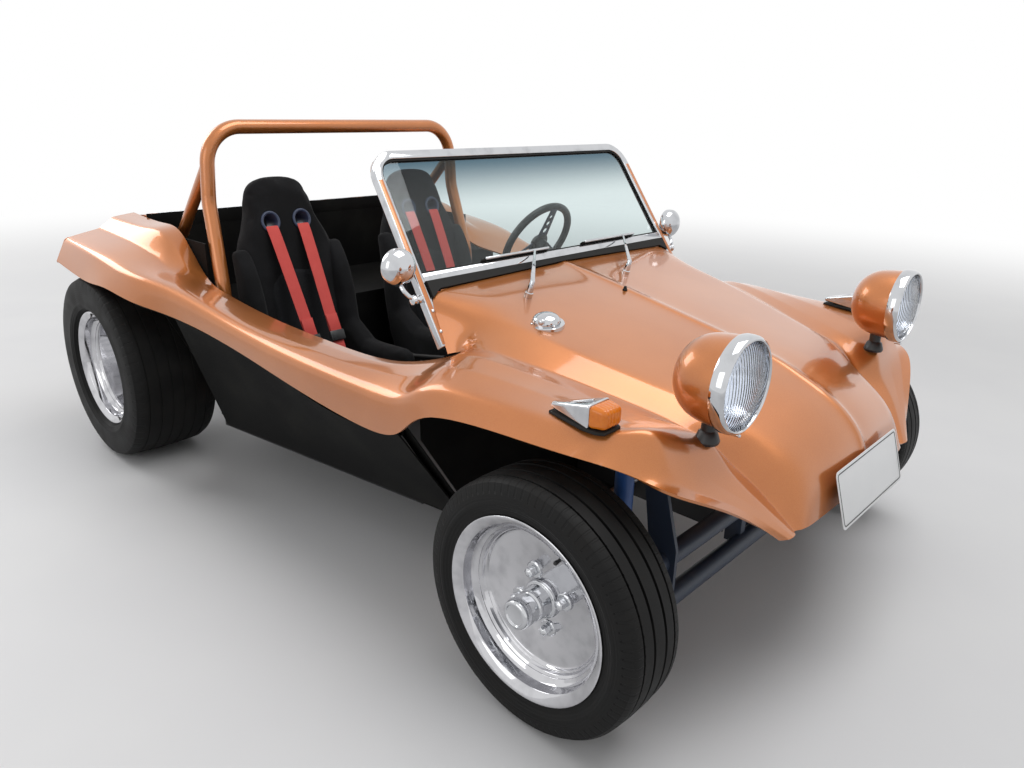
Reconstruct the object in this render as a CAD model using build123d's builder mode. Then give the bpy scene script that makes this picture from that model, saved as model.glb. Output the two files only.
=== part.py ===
from build123d import *
from math import cos, radians, sin
import os

os.makedirs("parts", exist_ok=True)

# Open two-seat dune buggy on a rear-engined floor pan, in millimetres.
# Its nose points to -Y, +X is its left side and +Z is up. The ground is Z = 0 and the origin is
# on the centre plane, half-way along. Stations are distances behind the front axle.

# Running gear
wheelbase = 2000
front_axle_y = -1095
front_track = 1412
rear_track = 1475
seam = 0.5
touch = 0.3
pin_play = 0.05
wall = 6
bead_r = 190.5
flange_r = 208
front_tyre_r = 286
front_tyre_width = 188
front_rim_width = 170
front_disc_inset = 18
rear_tyre_r = 333
rear_tyre_width = 296
rear_rim_width = 258
rear_disc_inset = 47
barrel_r = 168
rim_wall = 8
drum_r = 122
drum_depth = 46
cap_r = 34
spindle_r = 16

# Front axle beam, arms and steering
beam_station = -115
beam_tube_r = 24
beam_low_z = 186
beam_spacing = 120
arm_width = 26
arm_height = 26
kingpin_x = front_track / 2 - 110
kingpin_r = 12
beam_half = kingpin_x - 102
boss_r = 20
steer_arm = 70
rod_z = 390
rod_r = 8
tower_x = beam_half - 50
tower_top_z = 590
shock_x = beam_half + 46
shock_r = 21
shock_pin_r = 8
shock_station = -60

# Floor pan, tunnel and rear frame
pan_bottom_z = 205
pan_thickness = 4
rail_height = 48
rail_width = 36
tunnel_width = 150
tunnel_height = 125
tunnel_wall = 4
frame_head_front = -70
torsion_station = wheelbase - 285
pan_rear = torsion_station - 55
torsion_z = 300
torsion_r = 44
torsion_half = rear_track / 2 - 261.5

# Windscreen: its plane leans back and also ends the hood
screen_station = 575
screen_z = 824
screen_rake = 34.8
screen_low = 28
screen_high = 375
screen_half_low = 553
screen_half_high = 531
screen_leg = 158
screen_tube = 24
screen_corner_r = 66
glass_thickness = 5

# Cockpit's rear wall and roll bar
rear_wall_station = torsion_station - 75
bar_r = 24
bar_top_z = 1171
bar_bend_r = 125
bar_station = rear_wall_station + 40
brace_r = 20

# Seats and belts
seat_x = 309
seat_recline = 13
seat_half = 225
seat_back_station = rear_wall_station - 146
seat_back_z = 330
seat_back_height = 690
seat_hole_x = 62
seat_hole_r = 29
belt_width = 46
belt_thickness = 3

# Engine
engine_front = wheelbase + 150
engine_rear = engine_front + 330
crank_z = 333
fan_z = 640


def at(station):
    """The Y of a place given by its distance behind the front axle."""
    return front_axle_y + station


def across(station):
    """A plane across the car, whose sketch has X to the left and Y up."""
    return Plane(origin=(0, at(station), 0), x_dir=(1, 0, 0), z_dir=(0, -1, 0))


def leaning(station, height, tilt):
    """A plane across the car through one point of the crest, leaning by tilt degrees."""
    lean = radians(tilt)
    return Plane(
        origin=(0, at(station), height), x_dir=(1, 0, 0), z_dir=(0, -cos(lean), -sin(lean))
    )


def lengthwise(x):
    """A plane along the car, whose sketch has Y to the rear and Z up."""
    return Plane.YZ.offset(x)


def spin_plane(x, station, height):
    """A plane through a transverse axle: the axle along its X and the radius along its Y."""
    return Plane(origin=(x, at(station), height), x_dir=(1, 0, 0), z_dir=(0, 0, 1))


def cross_axis(station, height):
    return Axis((0, at(station), height), (1, 0, 0))


def save(solid, name):
    solid.label = name
    export_step(solid, f"parts/{name}.step")


def save_pair(left, name):
    """Write the left-hand piece and its mirror image as two nodes."""
    save(left, f"{name}_left")
    save(mirror(left, about=Plane.YZ), f"{name}_right")


def save_both(left, name):
    """Write the left-hand piece and its mirror image as two solids of one node."""
    pieces = list(left.solids()) + list(mirror(left, about=Plane.YZ).solids())
    save(Compound(children=pieces), name)


def moulding(rows, runs):
    """A thin moulded skin through open outlines, each thickened outwards by the wall.

    Each row is a plane, an outline and its corner radii. Each run lofts a few neighbouring rows,
    and shares its last row with the next run.
    """
    with BuildPart() as skin:
        for first, last in runs:
            for plane, outline, radius in rows[first:last]:
                with BuildSketch(plane):
                    with BuildLine():
                        FilletPolyline(*outline, radius=radius)
                        offset(amount=wall, side=Side.LEFT)
                    make_face()
            loft()
    return skin.part


def rod(start, end, radius):
    """A straight round bar between two points given as x, station and height."""
    start = Vector(start[0], at(start[1]), start[2])
    end = Vector(end[0], at(end[1]), end[2])
    run = end - start
    with BuildPart() as bar:
        with BuildSketch(Plane(origin=start, z_dir=run.normalized())):
            Circle(radius)
        extrude(amount=run.length)
    return bar.part


def seated(piece, skin):
    """What stands proud of a skin, cut off along the skin's own surface."""
    return (piece - skin).solids().sort_by(SortBy.VOLUME)[-1]


# Body
# Front table: station, height and tilt of the planes across the nose, then the places (x, up)
# of the hood's shoulder and of the valley beside it, and of the fender's inner edge, middle,
# crown and lip.
front_rows = [
    (440, 801, 0, (482, -14), (551, -112), (600, -127), (665, -146), (738, -183), (744, -269)),
    (300, 776, 6, (445, -24), (545, -62), (600, -66), (660, -78), (728, -106), (745, -168)),
    (20, 720, 12, (390, -30), (462, -62), (530, -56), (610, -44), (700, -42), (740, -87)),
    (-110, 693, 18, (355, -36), (436, -66), (482, -50), (572, -27), (662, -10), (706, -70)),
    (-165, 675, 22, (333, -40), (410, -72), (460, -42), (548, -14), (618, 8), (688, -60)),
    (-220, 652, 30, (312, -42), (384, -82), (455, -36), (535, -35), (612, -38), (664, -57)),
    (-280, 619, 42, (288, -40), (368, -96), (430, -70), (505, -68), (578, -64), (627, -54)),
    (-350, 544, 66, (278, -28), (350, -90), (404, -74), (440, -72), (478, -68), (508, -62)),
    (-372, 430, 84, (292, -8), (322, -26), (335, -21), (348, -19), (362, -21), (376, -34)),
]
# The cowl's row lies in the windscreen's plane: shoulder and foot across the car.
cowl_shoulder = (532, -12)
cowl_foot = (553, -172)
cowl_bend = 30
# Side table, on upright planes: station, then x and z of the rim's inner and outer edge, the
# deck, the crown and the lip.
side_rows = [
    (440, (557, 682), (600, 674), (665, 655), (738, 618), (744, 532)),
    (620, (600, 628), (634, 629), (680, 620), (738, 598), (732, 500)),
    (rear_wall_station - 740, (612, 619), (645, 622), (690, 620), (745, 606), (738, 525)),
    (rear_wall_station - 440, (616, 628), (650, 632), (700, 637), (762, 642), (752, 570)),
    (rear_wall_station - 160, (616, 652), (655, 665), (712, 680), (800, 702), (792, 612)),
    (rear_wall_station + 10, (608, 694), (655, 706), (715, 712), (840, 726), (850, 640)),
]
rear_rows = [
    (rear_wall_station + 10, (608, 694), (655, 706), (715, 712), (840, 726), (850, 640)),
    (wheelbase - 200, (602, 811), (660, 806), (708, 752), (846, 742), (876, 664)),
    (wheelbase - 40, (600, 830), (668, 824), (718, 776), (850, 756), (880, 662)),
    (wheelbase + 222, (590, 837), (668, 828), (722, 789), (842, 767), (880, 690)),
]
front_planes = [leaning(*row[:3]) for row in front_rows]
screen_plane = leaning(screen_station, screen_z, -screen_rake)

fender_bends = [26, 26, 26, 24, 20, 12, 10, 8, 4]
shoulder_bend = 60
valley_bend = 16


def nose_row(plane, shoulder, foot, fender, bends):
    """One outline across the nose: crowned hood, valleys and both fenders out to their lips."""
    crown_bend = shoulder[0] ** 2 / (-2 * shoulder[1])
    half = [(shoulder[0], shoulder[1] - wall), (foot[0], foot[1] - wall), *fender]
    outline = [(-x, up) for x, up in reversed(half)] + [(0, -wall)] + half
    return plane, outline, [*reversed(bends), crown_bend, *bends]


nose_rows = []
for plane, row, bend in zip(front_planes, front_rows, fender_bends):
    valley = max(bend, valley_bend - 6)
    nose_rows.append(nose_row(plane, row[3], row[4], row[5:], [shoulder_bend, valley, *[bend] * 3]))
cowl_rows = [
    nose_row(screen_plane, cowl_shoulder, cowl_foot, [], [cowl_bend]),
    nose_row(front_planes[0], front_rows[0][3], front_rows[0][4], [], [shoulder_bend]),
]
with BuildPart() as front_body:
    add(moulding(nose_rows, [(0, 3), (2, 5), (4, 7), (6, 9)]))
    add(moulding(cowl_rows, [(0, 2)]))
nose = front_body.part
save(nose, "front_body")

sill_rows = [(across(station), outline, 20) for station, *outline in side_rows]
sill_runs = [(0, 3), (2, 5), (4, 6)]
sill = moulding(sill_rows, sill_runs)
save_both(sill, "side_sills")
rear_fender_rows = [(across(station), outline, 20) for station, *outline in rear_rows]
rear_fender = moulding(rear_fender_rows, [(0, 3), (2, 4)])
save_both(rear_fender, "rear_fenders")

# Rear rim of the body, from the tub's inner edge over to the panel above the engine
panel_station = rear_rows[-1][0]
panel_half = rear_rows[-1][1][0]
rim_outline = [
    (panel_station - 112, 812),
    (panel_station - 108, 846),
    (panel_station - 26, 836),
    (panel_station, 800),
    (panel_station + 4, 560),
]
with BuildPart() as rear_panel:
    with BuildSketch(lengthwise(touch - panel_half)):
        with BuildLine():
            FilletPolyline(*[(at(y), z) for y, z in rim_outline], radius=[14, 26, 26])
            offset(amount=wall, side=Side.RIGHT)
        make_face()
    extrude(amount=2 * (panel_half - touch))
save(rear_panel.part, "rear_panel")

# Black sides of the cockpit, from each sill's lip down to the pan's rail
rail_front = (508, 600)
rail_rear = (626, rear_wall_station - 140)
tub_wall = 5


def rail_x(station):
    """How far out the pan's edge lies at a station."""
    (x0, s0), (x1, s1) = rail_front, rail_rear
    return x0 + (x1 - x0) * (station - s0) / (s1 - s0)


with BuildPart() as tub_side:
    for first, last in sill_runs[:-1]:
        for station, *_, lip in side_rows[first:last]:
            top = (lip[0] + wall - 1, lip[1] - 3 * seam)
            foot = (rail_x(station) + rail_width + seam, pan_bottom_z + 8)
            with BuildSketch(across(station)):
                Polygon(
                    top, (top[0] - tub_wall, top[1]), foot, (foot[0] + tub_wall, foot[1]), align=None
                )
        loft()
save_both(tub_side.part, "tub_sides")

# Bulkheads across the cockpit's two ends
front_wall_station = 430
tub_floor_z = 540
tub_half = (rear_track - rear_tyre_width) / 2 - 29.5
column_hole = (309, 518)
with BuildPart() as front_bulkhead:
    with BuildSketch(across(front_wall_station)):
        with BuildLine():
            Polyline(
                (0, pan_bottom_z + pan_thickness + touch),
                (500, pan_bottom_z + pan_thickness + touch),
                (688, 500),
                (688, 590),
                (530, 640),
                (490, 700),
                (0, 700),
                close=True,
            )
        make_face()
        mirror(about=Plane.YZ)
        with Locations((0, pan_bottom_z)):
            Rectangle(tunnel_width + 2 * touch, 2 * (tunnel_height + touch), mode=Mode.SUBTRACT)
        with Locations(column_hole):
            Circle(40, mode=Mode.SUBTRACT)
    extrude(amount=tub_wall)
save(front_bulkhead.part, "front_bulkhead")

with BuildPart() as rear_bulkhead:
    with BuildSketch(across(rear_wall_station)):
        with BuildLine():
            Polyline(
                (0, pan_bottom_z + pan_thickness + touch),
                (540, pan_bottom_z + pan_thickness + touch),
                (620, 300),
                (770, 600),
                (770, 636),
                (tub_half, 636),
                (tub_half, tub_floor_z),
                (0, tub_floor_z),
                close=True,
            )
        make_face()
        mirror(about=Plane.YZ)
        with Locations((0, pan_bottom_z)):
            Rectangle(tunnel_width + 2 * touch, 2 * (tunnel_height + touch), mode=Mode.SUBTRACT)
    extrude(amount=tub_wall)
save(rear_bulkhead.part, "rear_bulkhead")

# Luggage tub over the gearbox: a folded liner with a floor, two stepped sides and a back
liner_front = rear_wall_station + touch
liner_back = wheelbase + 104
liner = [(tub_half, tub_floor_z), (tub_half, 640), (594, 690), (594, 800)]
liner_run = [(-x, z) for x, z in reversed(liner)] + liner
with BuildPart() as rear_tub:
    with BuildSketch(across(liner_front)):
        with BuildLine():
            FilletPolyline(*liner_run, radius=10)
            offset(amount=tub_wall, side=Side.RIGHT)
        make_face()
    extrude(amount=-(liner_back + tub_wall - liner_front))
    with BuildSketch(across(liner_back)):
        with BuildLine():
            FilletPolyline(*liner_run, radius=10)
            Line(liner_run[-1], liner_run[0])
        make_face()
    extrude(amount=-tub_wall)
save(rear_tub.part, "rear_tub")

# Floor pan: a tapering plate, side rails and the hollow centre tunnel with the frame head
pan_front = 240
with BuildPart() as floor_pan:
    with BuildSketch(Plane.XY.offset(pan_bottom_z)):
        with BuildLine():
            Polyline(
                (0, at(pan_front)),
                (180, at(pan_front)),
                (500, at(front_wall_station - tub_wall)),
                (rail_front[0], at(rail_front[1])),
                (rail_rear[0], at(rail_rear[1])),
                (rail_rear[0], at(pan_rear - 60)),
                (540, at(pan_rear)),
                (0, at(pan_rear)),
                close=True,
            )
        make_face()
        mirror(about=Plane.YZ)
    extrude(amount=pan_thickness)
    with BuildSketch(Plane.XY.offset(pan_bottom_z)):
        with BuildLine():
            Polyline(
                (rail_front[0] - 1, at(rail_front[1])),
                (rail_front[0] + rail_width, at(rail_front[1])),
                (rail_rear[0] + rail_width, at(rail_rear[1])),
                (rail_rear[0] - 1, at(rail_rear[1])),
                close=True,
            )
        make_face()
        mirror(about=Plane.YZ)
    extrude(amount=rail_height)
    with BuildSketch(across(frame_head_front)):
        with Locations((0, pan_bottom_z + tunnel_height / 2)):
            RectangleRounded(tunnel_width, tunnel_height, 40)
            Rectangle(tunnel_width, tunnel_height / 2, align=(Align.CENTER, Align.MAX))
        with Locations((0, pan_bottom_z + (tunnel_height - tunnel_wall) / 2)):
            inner = (tunnel_width - 2 * tunnel_wall, tunnel_height - tunnel_wall)
            RectangleRounded(*inner, 40 - tunnel_wall, mode=Mode.SUBTRACT)
            Rectangle(inner[0], inner[1] / 2, align=(Align.CENTER, Align.MAX), mode=Mode.SUBTRACT)
    extrude(amount=-(pan_rear - frame_head_front))
save(floor_pan.part, "floor_pan")

# Rear frame: torsion tube, the fork that carries the gearbox and the horns for the shock absorbers
fork_x = 150
fork_z = 262
fork_length = 335
fork_depth = 56
horn_station = wheelbase - 200
horn_z = 505
with BuildPart() as rear_frame:
    with BuildSketch(lengthwise(-torsion_half)):
        with Locations((at(torsion_station), torsion_z)):
            Circle(torsion_r)
    extrude(amount=2 * torsion_half)
    with Locations((0, at(pan_rear + touch), 285)):
        Box(140, torsion_station - pan_rear, 80, align=(Align.CENTER, Align.MIN, Align.CENTER))
    with Locations((-fork_x, at(torsion_station), fork_z), (fork_x, at(torsion_station), fork_z)):
        Box(44, fork_length, fork_depth, align=(Align.CENTER, Align.MIN, Align.CENTER))
    for side in (-1, 1):
        with BuildSketch(lengthwise(side * (torsion_half - 12))):
            Polygon(
                (at(torsion_station - 30), torsion_z),
                (at(torsion_station + 30), torsion_z),
                (at(horn_station + 20), horn_z - 10),
                (at(horn_station + 14), horn_z + 20),
                (at(horn_station - 20), horn_z + 20),
                align=None,
            )
        extrude(amount=side * 8)
        with BuildSketch(lengthwise(side * (torsion_half - 12))):
            with Locations((at(horn_station), horn_z)):
                Circle(shock_pin_r)
        extrude(amount=side * 76)
save(rear_frame.part, "rear_frame")

# Windscreen frame with its two legs, the glass, the rubber below it and the dashboard behind
post_lean = (screen_half_low - screen_half_high) / (screen_high + screen_leg)


def post_x(up):
    """Where the middle of a windscreen post lies at a height up the screen's plane."""
    return screen_half_high + (screen_high - up) * post_lean


with BuildPart() as windscreen_frame:
    with BuildSketch(screen_plane):
        with BuildLine():
            FilletPolyline(
                (-screen_half_low, -screen_leg),
                (-screen_half_high, screen_high),
                (screen_half_high, screen_high),
                (screen_half_low, -screen_leg),
                radius=screen_corner_r,
            )
        trace(line_width=screen_tube)
        with BuildLine():
            Line((-post_x(screen_low), screen_low), (post_x(screen_low), screen_low))
        trace(line_width=screen_tube)
    extrude(amount=-screen_tube)
save(windscreen_frame.part, "windscreen_frame")

glass_low = screen_low + screen_tube / 2 + touch
glass_high = screen_high - screen_tube / 2 - touch
glass_inset = screen_tube / 2 + touch
with BuildPart() as windscreen_glass:
    with BuildSketch(screen_plane.offset(-(screen_tube - glass_thickness) / 2)) as pane:
        Polygon(
            (-post_x(glass_low) + glass_inset, glass_low),
            (post_x(glass_low) - glass_inset, glass_low),
            (post_x(glass_high) - glass_inset, glass_high),
            (-post_x(glass_high) + glass_inset, glass_high),
            align=None,
        )
        fillet(pane.vertices().group_by(Axis.Y)[-1], radius=screen_corner_r - screen_tube / 2)
    extrude(amount=-glass_thickness)
save(windscreen_glass.part, "windscreen_glass")

seal_top = screen_low - screen_tube / 2 - touch
seal_half = 533
with BuildPart() as screen_seal:
    with BuildSketch(screen_plane.offset(6)):
        with BuildLine():
            seal_foot = [(seal_half, -30), (500, -9)]
            half = [(0, seal_top), (seal_half, seal_top), *seal_foot, (0, 1)]
            Polyline(*half, close=True)
        make_face()
        mirror(about=Plane.YZ)
    extrude(amount=-26)
save(seated(screen_seal.part, nose), "screen_seal")

dash_thickness = 4
with BuildPart() as dashboard:
    with BuildSketch(screen_plane):
        Polygon((-496, -12), (0, -3), (496, -12), (536, -166), (-536, -166), align=None)
    extrude(amount=-dash_thickness)
    with BuildSketch(screen_plane.offset(-dash_thickness)):
        with Locations((seat_x, -62)):
            Circle(52)
        with Locations((seat_x - 110, -62), (seat_x - 180, -62), (seat_x + 110, -62)):
            Circle(27)
    extrude(amount=-10)
save(dashboard.part, "dashboard")

# Roll bar: one bent hoop with two straight braces and four foot plates
hoop_path = [
    (570, bar_station - 90, pan_bottom_z + pan_thickness + 3),
    (568, bar_station - 78, 650),
    (549, bar_station, 930),
    (532, bar_station, bar_top_z),
]
brace_top = (541, bar_station, 1052)
brace_foot = (tub_half - 25, liner_back + brace_r, 604)
with BuildPart() as roll_bar:
    with BuildLine():
        left_half = [(x, at(s), z) for x, s, z in hoop_path]
        right_half = [(-x, y, z) for x, y, z in reversed(left_half)]
        FilletPolyline(*left_half, *right_half, radius=[200, 160, bar_bend_r, bar_bend_r, 160, 200])
    with BuildSketch(Plane(origin=left_half[0], z_dir=(Vector(*left_half[1]) - Vector(*left_half[0])))):
        Circle(bar_r)
    sweep()
    for side in (-1, 1):
        add(rod((side * brace_top[0], *brace_top[1:]), (side * brace_foot[0], *brace_foot[1:]), brace_r))
        with Locations((side * hoop_path[0][0], left_half[0][1], pan_bottom_z + pan_thickness + touch)):
            Box(90, 70, 6, align=(Align.CENTER, Align.CENTER, Align.MIN))
        with Locations((side * (brace_foot[0] - 17), at(liner_back - touch), brace_foot[2] + brace_r)):
            Box(76, 5, 90, align=(Align.CENTER, Align.MAX, Align.CENTER))
    split(bisect_by=across(liner_back - touch))
save(roll_bar.part, "roll_bar")

# Seats: high-backed buckets with side bolsters and two belt holes, each on two rails
lean = radians(seat_recline)
back_plane = Plane(
    origin=(seat_x, at(seat_back_station), seat_back_z),
    x_dir=(1, 0, 0),
    z_dir=(0, -cos(lean), sin(lean)),
)
hole_up = 539
cushion_z = 246
with BuildPart() as seat:
    with BuildSketch(back_plane):
        with BuildLine():
            half = [(0, -70), (208, -70), (seat_half, 120), (212, 400), (116, 590), (92, seat_back_height)]
            Polyline(*half, (0, seat_back_height), close=True)
        make_face()
        mirror(about=Plane.YZ)
        with Locations((-seat_hole_x, hole_up), (seat_hole_x, hole_up)):
            Circle(seat_hole_r, mode=Mode.SUBTRACT)
    extrude(amount=-62)
    with BuildSketch(back_plane):
        with BuildLine():
            Polyline((150, -70), (seat_half - 6, -70), (seat_half - 2, 120), (208, 380), (170, 420), close=True)
        make_face()
        mirror(about=Plane.YZ)
    extrude(amount=56, taper=18)
    with BuildSketch(lengthwise(seat_x - 150)):
        with BuildLine():
            FilletPolyline(
                (at(seat_back_station - 364), cushion_z),
                (at(seat_back_station - 376), 392),
                (at(seat_back_station - 294), 396),
                (at(seat_back_station - 4), 352),
                (at(seat_back_station + 66), cushion_z),
                radius=[30, 60, 20],
            )
            Line((at(seat_back_station + 66), cushion_z), (at(seat_back_station - 364), cushion_z))
        make_face()
    extrude(amount=300)
    for side in (-1, 1):
        with BuildSketch(lengthwise(seat_x + side * 148)):
            with BuildLine():
                FilletPolyline(
                    (at(seat_back_station - 344), cushion_z),
                    (at(seat_back_station - 344), 420),
                    (at(seat_back_station - 94), 446),
                    (at(seat_back_station + 6), 480),
                    (at(seat_back_station + 66), cushion_z),
                    radius=[40, 100, 30],
                )
                Line((at(seat_back_station + 66), cushion_z), (at(seat_back_station - 344), cushion_z))
            make_face()
        extrude(amount=side * (seat_half - 150))
save_both(seat.part, "seats")

with BuildPart() as seat_rails:
    rail_y = at(seat_back_station - 314)
    with Locations(*[(seat_x + dx, rail_y, pan_bottom_z + pan_thickness + touch) for dx in (-150, 150)]):
        rail_rise = cushion_z - pan_bottom_z - pan_thickness - 2 * touch
        Box(30, 340, rail_rise, align=(Align.CENTER, Align.MIN, Align.MIN))
save_both(seat_rails.part, "seat_rails")

# Belts: each runs down the seat's back from its hole and forward over the cushion
belt_gap = 0.6 + belt_thickness / 2


def on_back(up, out):
    """Station and height of a point on the seat's back, at a height up it and proud of it."""
    return (
        seat_back_station + up * sin(lean) - out * cos(lean),
        seat_back_z + up * cos(lean) + out * sin(lean),
    )


belt_line = [
    on_back(hole_up - 60, -62 - 40),
    on_back(hole_up, -62 - 12),
    on_back(hole_up, belt_gap),
    on_back(45, belt_gap),
    (seat_back_station - 74, 369),
    (seat_back_station - 194, 386),
]
with BuildPart() as harness:
    for offset_x in (-seat_hole_x, seat_hole_x):
        with BuildSketch(lengthwise(seat_x + offset_x - belt_width / 2)):
            with BuildLine():
                FilletPolyline(*[(at(s), z) for s, z in belt_line], radius=[10, 3, 60, 40])
            trace(line_width=belt_thickness)
        extrude(amount=belt_width)
save_both(harness.part, "harnesses")

# Headlamps: bowls on short stalks, with flat lenses in chrome rims
lamp_x = 459
lamp_station = -263
lamp_z = 765
lens_r = 90
lamp_rim_r = 99
lamp_axis = Axis((lamp_x, at(lamp_station), lamp_z), (0, 1, 0))
lamp_plane = Plane(origin=(lamp_x, at(lamp_station), lamp_z), x_dir=(0, 1, 0), z_dir=(-1, 0, 0))
with BuildPart() as headlamp:
    with BuildSketch(lamp_plane):
        with BuildLine():
            FilletPolyline(
                (14, 0),
                (14, lens_r + touch),
                (0, lens_r + touch),
                (0, lamp_rim_r),
                (22, lamp_rim_r),
                (22, lamp_rim_r - 5),
                (84, 88),
                (136, 44),
                (142, 0),
                radius=[1, 1, 3, 3, 1, 70, 18],
            )
            Line((142, 0), (14, 0))
        make_face()
    revolve(axis=lamp_axis)
    add(rod((lamp_x, -196, 690), (lamp_x, -196, 560), 15))
save_both(seated(headlamp.part, nose), "headlamps")

with BuildPart() as headlamp_lens:
    with BuildSketch(lamp_plane):
        with BuildLine():
            Line((-12, 0), (14 - touch, 0))
            Line((14 - touch, 0), (14 - touch, lens_r))
            Line((14 - touch, lens_r), (2, lens_r))
            TangentArc((-12, 0), (2, lens_r), tangent=(0, 1))
        make_face()
    revolve(axis=lamp_axis)
save_both(headlamp_lens.part, "headlamp_lenses")

# Turn signals: teardrop housings on the fenders with a round lens at the front
signal_x = 668
signal_front = -112
signal_z = 716
signal_r = 31
signal_axis = Axis((signal_x, at(signal_front), signal_z), (0, 1, 0))
signal_plane = Plane(origin=(signal_x, at(signal_front), signal_z), x_dir=(0, 1, 0), z_dir=(-1, 0, 0))
with BuildPart() as turn_signal:
    with BuildSketch(signal_plane):
        with BuildLine():
            Line((38, 0), (38, signal_r))
            TangentArc((38, signal_r), (150, 8), tangent=(1, 0))
            Line((150, 8), (153, 0))
            Line((153, 0), (38, 0))
        make_face()
    revolve(axis=signal_axis)
save_both(seated(turn_signal.part, nose), "turn_signals")

with BuildPart() as signal_lens:
    with BuildSketch(signal_plane):
        with BuildLine():
            Line((0, 0), (38 - touch, 0))
            Line((38 - touch, 0), (38 - touch, signal_r - 2))
            Line((38 - touch, signal_r - 2), (20, signal_r - 2))
            TangentArc((0, 0), (20, signal_r - 2), tangent=(0, 1))
        make_face()
    revolve(axis=signal_axis)
save_both(seated(signal_lens.part, nose), "signal_lenses")

# Tail ends of the rear fenders and their round lamps
tail_lamp_r = 38
with BuildPart() as fender_end:
    with BuildSketch(across(panel_station + touch)):
        with BuildLine():
            FilletPolyline(*rear_rows[-1][1:], radius=20)
            Polyline(rear_rows[-1][-1], (862, 684), (panel_half, 640), rear_rows[-1][1])
        make_face()
        offset(amount=wall - 2)
        Rectangle(panel_half, 1000, align=(Align.MIN, Align.MIN), mode=Mode.SUBTRACT)
    extrude(amount=-4)
save_both(fender_end.part, "fender_ends")
with BuildPart() as tail_lamp:
    with BuildSketch(across(panel_station + 4 + 2 * touch)):
        with Locations((790, 722)):
            Circle(tail_lamp_r)
    extrude(amount=-26)
save_both(tail_lamp.part, "tail_lamps")

# Mirrors on the windscreen posts
mirror_at = (604, 600, 880)
mirror_r = 47
with BuildPart() as door_mirror:
    head_plane = Plane(origin=(mirror_at[0], at(mirror_at[1]), mirror_at[2]), x_dir=(0, 1, 0), z_dir=(-1, 0, 0))
    with BuildSketch(head_plane):
        with BuildLine():
            Line((12, 0), (12, mirror_r))
            Line((12, mirror_r), (-6, mirror_r))
            TangentArc((-32, 0), (-6, mirror_r), tangent=(0, 1))
            Line((-32, 0), (12, 0))
        make_face()
    revolve(axis=Axis(head_plane.origin, (0, 1, 0)))
    add(rod((604, 596, 850), (572, 563, 800), 6))
    add(rod((580, 571, 800), (560, 571, 800), 13))
save_both(door_mirror.part, "mirrors")

# Small pieces on the hood: wipers, fuel cap and the plate's carrier
wipers = []
for spindle_x in (-315, 115):
    with BuildPart() as wiper:
        add(rod((spindle_x, 425, 740), (spindle_x, 425, 838), 13))
        add(rod((spindle_x, 425, 832), (spindle_x + 83, 540, 872), 4))
        add(rod((spindle_x - 60, 540, 872), (spindle_x + 220, 540, 872), 4))
    wipers.append(seated(wiper.part, nose))
save(Compound(children=wipers), "wipers")

with BuildPart() as fuel_cap:
    add(rod((-378, 312, 744), (-383, 310, 784), 44))
save(seated(fuel_cap.part, nose), "fuel_cap")

plate_half = 184
plate_height = 134
plate_plane = leaning(-386, 457, -17)
with BuildPart() as number_plate:
    with BuildSketch(plate_plane):
        RectangleRounded(2 * plate_half, plate_height, 12)
    extrude(amount=-2)
    with BuildSketch(plate_plane.offset(-2)):
        with Locations((-90, 10), (90, 10)):
            Rectangle(40, 30)
    extrude(amount=-60)
save(seated(number_plate.part, nose), "number_plate")

# Front beam: two tubes, the shock towers and the saddle on the frame head
with BuildPart() as front_beam:
    for height in (beam_low_z, beam_low_z + beam_spacing):
        with BuildSketch(lengthwise(-beam_half + touch)):
            with Locations((at(beam_station), height)):
                Circle(beam_tube_r)
        extrude(amount=2 * (beam_half - touch))
    for side in (-1, 1):
        with BuildSketch(lengthwise(side * tower_x)):
            Polygon(
                (at(beam_station - 36), beam_low_z - 30),
                (at(beam_station + 32), beam_low_z - 30),
                (at(beam_station + 36), beam_low_z + 160),
                (at(shock_station + 20), tower_top_z),
                (at(shock_station - 20), tower_top_z + 10),
                (at(beam_station - 36), beam_low_z + 160),
                align=None,
            )
        extrude(amount=side * 10)
        with BuildSketch(lengthwise(side * tower_x)):
            with Locations((at(shock_station), tower_top_z - 20)):
                Circle(shock_pin_r)
        extrude(amount=side * (shock_x + 24 - tower_x))
        with Locations((side * 50, at(beam_station), pan_bottom_z + 50)):
            saddle = frame_head_front - beam_station - touch
            Box(24, saddle, 150, align=(Align.CENTER, Align.MIN, Align.CENTER))
save(front_beam.part, "front_beam")

# Trailing arms: each a bar rising back from its tube to a cranked boss for the kingpin
arm_x = beam_half + arm_width / 2
arm_rise = front_tyre_r - beam_low_z - beam_spacing / 2
shock_low_z = beam_low_z + arm_rise * (shock_station - beam_station) / -beam_station
with BuildPart() as trailing_arms:
    for height in (beam_low_z, beam_low_z + beam_spacing):
        half_depth = arm_height / 2
        with BuildSketch(lengthwise(beam_half)):
            with Locations((at(beam_station), height)):
                Circle(30)
            Polygon(
                (at(beam_station), height - half_depth),
                (at(beam_station), height + half_depth),
                (at(0), height + arm_rise + half_depth),
                (at(0), height + arm_rise - half_depth),
                align=None,
            )
        extrude(amount=arm_width)
        with Locations((beam_half, at(0), height + arm_rise)):
            Box(kingpin_x - beam_half, 28, arm_height, align=(Align.MIN, Align.CENTER, Align.CENTER))
        with Locations((kingpin_x, at(0), height + arm_rise)):
            Cylinder(boss_r, arm_height)
            Cylinder(kingpin_r + pin_play, 2 * arm_height, mode=Mode.SUBTRACT)
    add(rod((arm_x, shock_station, shock_low_z), (shock_x + 22, shock_station, shock_low_z), shock_pin_r))
save_both(trailing_arms.part, "trailing_arms")

# Shock absorbers: an eye at each end, a body below and a dust cover above


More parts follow.
